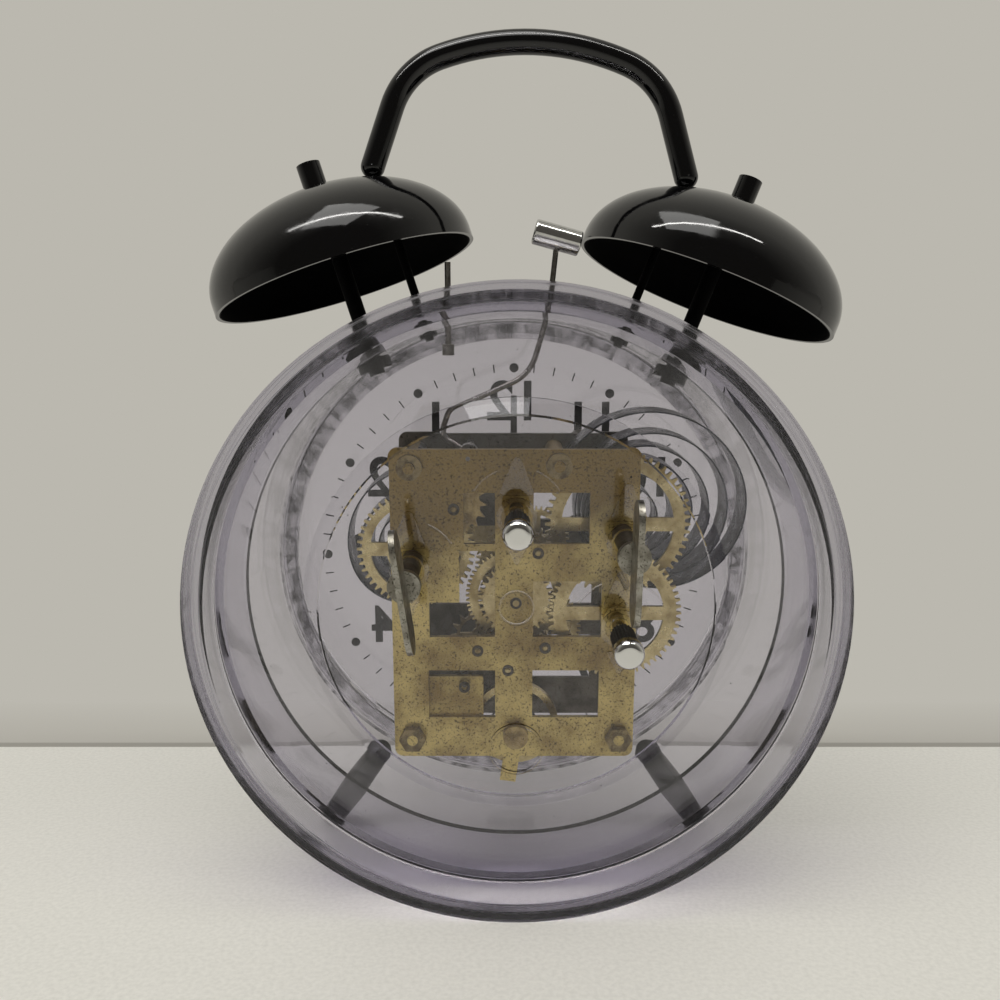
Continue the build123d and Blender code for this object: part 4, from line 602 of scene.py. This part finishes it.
def hour_figure(number):
    text = bpy.data.curves.new("figure", "FONT")
    text.body = str(number)
    text.size = FIGURE_HEIGHT
    text.align_x = "CENTER"
    text.align_y = "CENTER"
    text.extrude = INK / 2
    text.offset = FIGURE_WEIGHT
    text.resolution_u = CURVE_STEPS
    written = bpy.data.objects.new("figure", text)
    bpy.context.collection.objects.link(written)
    bpy.context.view_layer.update()
    evaluated = written.evaluated_get(bpy.context.evaluated_depsgraph_get())
    mesh = bpy.data.meshes.new_from_object(evaluated)
    bpy.data.objects.remove(written)
    bpy.data.curves.remove(text)
    return mesh


print("figures are", FIGURE_HEIGHT, "mm high")

# %% Dial printing
DOT_RING = 39.9
DOT_RADIUS = 0.95
DOT_SIDES = 32
STROKE_LENGTH = 1.7
STROKE_WIDTH = 0.26
FIGURE_RING = 32.6
HOURS = 12
MINUTES = 60
MINUTES_PER_DOT = 5


def on_dial(radius, turn):
    return Matrix.Translation((radius * sin(turn), radius * cos(turn), DIAL_FACE))


printing = bmesh.new()
for minute in range(MINUTES):
    turn = 2 * pi * minute / MINUTES
    spot = on_dial(DOT_RING, turn)
    if minute % MINUTES_PER_DOT == 0:
        bmesh.ops.create_cone(printing, cap_ends=True, segments=DOT_SIDES, radius1=DOT_RADIUS,
                              radius2=DOT_RADIUS, depth=INK, matrix=spot)
    else:
        stroke = Matrix.Rotation(-turn, 4, "Z") @ Matrix.Diagonal((STROKE_WIDTH, STROKE_LENGTH, INK, 1.0))
        bmesh.ops.create_cube(printing, size=1.0, matrix=spot @ stroke)
for hour in range(1, HOURS + 1):
    figure = hour_figure(hour)
    before = len(printing.verts)
    printing.from_mesh(figure)
    printing.verts.ensure_lookup_table()
    spot = on_dial(FIGURE_RING, 2 * pi * hour / HOURS)
    bmesh.ops.transform(printing, matrix=spot, verts=printing.verts[before:])
    bpy.data.meshes.remove(figure)
bmesh.ops.transform(printing, matrix=own, verts=printing.verts)
finish_piece("dial_printing", printing, print_ink, "case")

# %% [markdown]
# ## Raised marks on the rear cover
# The mould leaves a raised ring round each of the four holes for keys and knobs, with a tapered
# pointer above it, a short one below, and a thin curved line on each side that shows which way to
# turn. They are generic marks in clear plastic, 0.35 mm high. A pointer is the hull of three small
# discs, which is quicker and rounder than a drawn outline. A ring and a curved line are a small
# square swept round the hole with the spin operator.

# %% Hull of discs
COVER_FACE = 5.0
MARK_HEIGHT = 0.35
MARK_GAP = 0.02
MARK_Z = COVER_FACE - MARK_GAP - MARK_HEIGHT / 2
DISC_SIDES = 20


def hull_of_discs(shape, discs):
    points = []
    for x, y, radius in discs:
        made = bmesh.ops.create_cone(
            shape, cap_ends=True, segments=DISC_SIDES, radius1=radius, radius2=radius, depth=MARK_HEIGHT,
            matrix=Matrix.Translation((x, y, MARK_Z)))
        points += made["verts"]
    hull = bmesh.ops.convex_hull(shape, input=points)
    spare = [part for part in hull["geom_interior"] if isinstance(part, bmesh.types.BMVert)]
    bmesh.ops.delete(shape, geom=spare, context="VERTS")
    old = [face for face in shape.faces
           if face not in hull["geom"] and all(v in points for v in face.verts)]
    bmesh.ops.delete(shape, geom=[face for face in old if face.is_valid], context="FACES_ONLY")


print("marks stand", MARK_GAP, "mm clear of the cover and are", MARK_HEIGHT, "mm high")

# %% Swept square
FULL_TURN = 2 * pi
ALMOST_FULL = FULL_TURN - 0.001


def swept_square(shape, inner, outer, start, sweep, steps):
    middle = (inner + outer) / 2
    at_start = Matrix.Rotation(-start, 4, "Z") @ Matrix.Translation((0.0, middle, MARK_Z))
    size = Matrix.Rotation(UPRIGHT, 4, "Y") @ Matrix.Diagonal((MARK_HEIGHT, outer - inner, 1.0, 1.0))
    square = bmesh.ops.create_grid(shape, x_segments=1, y_segments=1, size=0.5, matrix=at_start @ size)
    edges = list({e for v in square["verts"] for e in v.link_edges})
    faces = list({f for v in square["verts"] for f in v.link_faces})
    full = sweep > ALMOST_FULL
    if full:
        bmesh.ops.delete(shape, geom=faces, context="FACES_ONLY")
        faces = []
    bmesh.ops.spin(shape, geom=square["verts"] + edges + faces, cent=(0.0, 0.0, MARK_Z),
                   axis=(0.0, 0.0, -1.0), dvec=(0, 0, 0), angle=sweep, steps=steps, use_merge=full,
                   use_duplicate=False)


print("a sweep past", round(ALMOST_FULL, 3), "closes on itself")

# %% Marks on the cover
RING_INNER = 2.7
RING_OUTER = 3.5
RING_STEPS = 48
LINE_WIDTH = 0.3
LINE_RADIUS = 8.6
LINE_FROM = radians(22.0)
LINE_TO = radians(58.0)
LINE_STEPS = 16
UPPER_POINTER = [(0.0, 9.6, 0.9), (-2.3, 4.5, 0.6), (2.3, 4.5, 0.6)]
LOWER_POINTER = [(0.0, -8.0, 0.4), (-1.7, -4.6, 0.4), (1.7, -4.6, 0.4)]
LEFT_ONLY = (-1,)
mark_places = {
    "time_set": ((0.0, 17.5), SIDES),
    "alarm_set": ((-18.27, -2.6), SIDES),
    "time_winding": ((-19.1, 12.9), LEFT_ONLY),
    "alarm_winding": ((18.7, 8.1), LEFT_ONLY),
}

for mark_name, (hole, line_sides) in mark_places.items():
    mark = bmesh.new()
    hull_of_discs(mark, UPPER_POINTER)
    hull_of_discs(mark, LOWER_POINTER)
    swept_square(mark, RING_INNER, RING_OUTER, 0.0, FULL_TURN, RING_STEPS)
    for side in line_sides:
        start = LINE_FROM if side > 0 else -LINE_TO
        swept_square(mark, LINE_RADIUS, LINE_RADIUS + LINE_WIDTH, start, LINE_TO - LINE_FROM, LINE_STEPS)
    bmesh.ops.translate(mark, vec=(*hole, 0.0), verts=mark.verts)
    bmesh.ops.transform(mark, matrix=own, verts=mark.verts)
    finish_piece("cover_mark_" + mark_name, mark, sheet_plastic, "case")

# %% [markdown]
# The plastic ran into the mould through one gate in the middle of the cover, and a thin raised ring
# is left round it.

# %% Gate ring
GATE_PLACE = (0.0, 1.2, 0.0)
GATE_INNER = 2.85
GATE_OUTER = 3.2

gate = bmesh.new()
swept_square(gate, GATE_INNER, GATE_OUTER, 0.0, FULL_TURN, RING_STEPS)
bmesh.ops.translate(gate, vec=GATE_PLACE, verts=gate.verts)
bmesh.ops.transform(gate, matrix=own, verts=gate.verts)
finish_piece("cover_gate_ring", gate, sheet_plastic, "case")

# %% [markdown]
# ## Bearings in the rear plate
# Each arbor ends in a thin steel pivot that turns in a hole in the plate. The hole is countersunk for
# a drop of oil, which has gone dark and caught dust, so every bearing shows as a dark ring with a
# bright dot in it. The ring is swept from the same small square as the marks. Its place is read from
# the joint that turns in it.

# %% Bearing rings
PLATE_BACK = 12.0
BEARING_HEIGHT = 0.12
BEARING_INNER = 0.55
BEARING_OUTER = 1.05
BEARING_STEPS = 32
BEARING_SHIFT = PLATE_BACK - MARK_GAP - BEARING_HEIGHT / 2 - MARK_Z
bearing_joints = ["second_turn", "centre_turn", "third_turn", "fourth_turn", "escape_turn",
                  "pallet_swing", "alarm_escape_turn"]

joint_places = {joint["name"]: own.inverted() @ Vector(joint["pos_m"]) for joint in frame["joints"]
                if joint["name"] in bearing_joints}
bearings = bmesh.new()
for joint_name in bearing_joints:
    before = len(bearings.verts)
    swept_square(bearings, BEARING_INNER, BEARING_OUTER, 0.0, FULL_TURN, BEARING_STEPS)
    bearings.verts.ensure_lookup_table()
    place = joint_places[joint_name]
    bmesh.ops.translate(bearings, vec=(place.x, place.y, BEARING_SHIFT), verts=bearings.verts[before:])
    print(joint_name, "turns at", round(place.x, 1), round(place.y, 1))
bmesh.ops.transform(bearings, matrix=own, verts=bearings.verts)
finish_piece("bearing_rings", bearings, front_steel, "case")

# %% [markdown]
# ## Counter, light and surroundings
# The clock stands on a pale speckled counter, close to a wall of warm grey glazed tiles under a
# cupboard light. A real wall would hide the clock in views from its front, so one large flat floor
# does both: it has the counter's colour up to the foot of the wall and the wall's colour beyond it.
# There it fades into a plain glow of that colour for rays that an eye would follow, as the
# surroundings have it, so no horizon shows. The surroundings are a little darker on the camera's
# side, so that gloss and plating have something to show.

# %% Rays that an eye would follow
WALL_COLOUR = "#bbb8af"


def seen_by_eye(tree):
    path = add(tree, "ShaderNodeLightPath").outputs
    straight = add(tree, "ShaderNodeMath", {
        0: path["Is Camera Ray"], 1: path["Is Transmission Ray"]}, operation="MAXIMUM")
    shown = add(tree, "ShaderNodeMath", {
        0: straight.outputs["Value"], 1: path["Is Glossy Ray"]}, operation="MAXIMUM")
    return shown.outputs["Value"]


print("the wall is", WALL_COLOUR)

# %% Counter
WALL_FOOT = -73.0 * MM
WALL_FADE = -110.0 * MM
CORNER_SHADE_WIDTH = 1.6 * MM
SPECKLE = 0.9 * MM
SPECKLE_BAND = (0.35, 0.75)
COUNTER_ROUGHNESS = 0.45
COUNTER_IOR = 1.5

counter_material, tree = new_material("pale_speckled_counter")
place = add(tree, "ShaderNodeTexCoord").outputs["Object"]
speckle = add(tree, "ShaderNodeTexNoise", {"Vector": place, "Scale": 1.0 / SPECKLE, "Detail": 3.0})
speckle_share = add(tree, "ShaderNodeMapRange", {
    "Value": speckle.outputs["Fac"], "From Min": SPECKLE_BAND[0], "From Max": SPECKLE_BAND[1],
    "To Min": 0.0, "To Max": 1.0})
counter_colour = add(tree, "ShaderNodeMix", {
    MIX_SHARE: speckle_share.outputs["Result"], MIX_FIRST: linear("#e2e0d8"),
    MIX_SECOND: linear("#d6d4cc")}, data_type="RGBA").outputs[MIX_COLOUR]
depth = add(tree, "ShaderNodeSeparateXYZ", {"Vector": place}).outputs["Y"]
beyond = add(tree, "ShaderNodeMath", {0: depth, 1: WALL_FOOT}, operation="LESS_THAN")
floor_colour = add(tree, "ShaderNodeMix", {
    MIX_SHARE: beyond.outputs["Value"], MIX_FIRST: counter_colour,
    MIX_SECOND: linear("#b4b1a9")}, data_type="RGBA").outputs[MIX_COLOUR]
# A thin grey line along the foot of the wall is painted shade of the corner between wall and counter.
from_shaded_corner = add(tree, "ShaderNodeMath", {0: depth, 1: -WALL_FOOT}, operation="ADD")
shaded_corner_distance = add(tree, "ShaderNodeMath", {0: from_shaded_corner.outputs["Value"]}, operation="ABSOLUTE")
in_painted_corner_shade = add(tree, "ShaderNodeMath", {
    0: shaded_corner_distance.outputs["Value"], 1: CORNER_SHADE_WIDTH}, operation="LESS_THAN")
floor_colour_with_corner_shade = add(tree, "ShaderNodeMix", {
    MIX_SHARE: in_painted_corner_shade.outputs["Value"], MIX_FIRST: floor_colour,
    MIX_SECOND: linear("#96938b")}, data_type="RGBA").outputs[MIX_COLOUR]
counter_shader = add(tree, "ShaderNodeBsdfPrincipled", {
    "Base Color": floor_colour_with_corner_shade, "Roughness": COUNTER_ROUGHNESS, "IOR": COUNTER_IOR})
# The joint in this printed list is the painted corner shade.
print("floor colours from the camera on: counter, joint, wall")

# %% Glow beyond the foot of the wall
FLOOR_SIZE = 6.0
FLOOR_CELLS = 4

wall_light = add(tree, "ShaderNodeEmission", {"Color": linear(WALL_COLOUR), "Strength": 1.0})
wall_share = add(tree, "ShaderNodeMapRange", {
    "Value": depth, "From Min": WALL_FOOT, "From Max": WALL_FADE, "To Min": 0.0, "To Max": 1.0})
shown = seen_by_eye(tree)
lit_share = add(tree, "ShaderNodeMath", {
    0: wall_share.outputs["Result"], 1: shown}, operation="MULTIPLY")
floor_shader = add(tree, "ShaderNodeMixShader", {
    0: lit_share.outputs["Value"], 1: counter_shader.outputs["BSDF"], 2: wall_light.outputs["Emission"]})
add(tree, "ShaderNodeOutputMaterial", {"Surface": floor_shader.outputs["Shader"]})

sheet = bmesh.new()
bmesh.ops.create_grid(sheet, x_segments=FLOOR_CELLS, y_segments=FLOOR_CELLS, size=FLOOR_SIZE / 2)
counter = finish_piece("counter", sheet, counter_material)

# %% Surroundings
ROOM_SIDE_BAND = (-0.1, 0.7)
FILL_STRENGTH = 0.42

world = bpy.data.worlds.new("pale_room")
world.use_nodes = True
bpy.context.scene.world = world
tree = world.node_tree
tree.nodes.clear()
direction = add(tree, "ShaderNodeTexCoord").outputs["Generated"]
parts = add(tree, "ShaderNodeSeparateXYZ", {"Vector": direction})
room_side = add(tree, "ShaderNodeMapRange", {
    "Value": parts.outputs["Y"], "From Min": ROOM_SIDE_BAND[0], "From Max": ROOM_SIDE_BAND[1],
    "To Min": 0.0, "To Max": 1.0})
reflected = add(tree, "ShaderNodeMix", {
    MIX_SHARE: room_side.outputs["Result"], MIX_FIRST: linear(WALL_COLOUR),
    MIX_SECOND: linear("#55524d")}, data_type="RGBA").outputs[MIX_COLOUR]
shown = seen_by_eye(tree)
glossy = add(tree, "ShaderNodeLightPath").outputs["Is Glossy Ray"]
scenery = add(tree, "ShaderNodeMix", {
    MIX_SHARE: glossy, MIX_FIRST: linear(WALL_COLOUR),
    MIX_SECOND: reflected}, data_type="RGBA").outputs[MIX_COLOUR]
pale = add(tree, "ShaderNodeBackground", {"Color": scenery, "Strength": 1.0})
fill = add(tree, "ShaderNodeBackground", {"Color": linear("#f4f3f0"), "Strength": FILL_STRENGTH})
both = add(tree, "ShaderNodeMixShader", {
    0: shown, 1: fill.outputs["Background"], 2: pale.outputs["Background"]})
add(tree, "ShaderNodeOutputWorld", {"Surface": both.outputs["Shader"]})
print("world:", world.name)

# %% [markdown]
# A long narrow lamp above gives the bright line along each bell, a large soft one fills the rest, and
# a low wide one stands for the light that comes back off the wall. That one is only light: it isn't
# seen through the plastic or in the gloss.

# %% Lamps
CLOCK_MIDDLE = Vector((0.0, 0.0, 0.08))


def soft_lamp(name, place, width, height, watts, colour):
    data = bpy.data.lights.new(name, "AREA")
    data.shape = "RECTANGLE"
    data.size = width
    data.size_y = height
    data.energy = watts
    data.color = linear(colour)[:3]
    lamp = bpy.data.objects.new(name, data)
    lamp.location = Vector(place)
    lamp.rotation_euler = (CLOCK_MIDDLE - Vector(place)).to_track_quat("-Z", "Y").to_euler()
    bpy.context.collection.objects.link(lamp)
    print(name, "has", watts, "W")
    return lamp


soft_lamp("cupboard_strip", (0.0, 0.20, 0.62), 0.9, 0.02, 1.5, "#fffdf9")
soft_lamp("ceiling_panel", (0.15, 0.35, 1.1), 0.7, 0.7, 4.5, "#fffefb")
wall_lamp = soft_lamp("wall_bounce", (0.0, -0.6, 0.25), 1.6, 0.5, 0.5, "#fffefb")
wall_lamp.visible_camera = False
wall_lamp.visible_glossy = False
wall_lamp.visible_transmission = False

# %% [markdown]
# ## Close the scene
# The picture is shown with the Standard view transform, so a colour renders about as it is written.

# %% Finish
bpy.context.scene.view_settings.view_transform = "Standard"
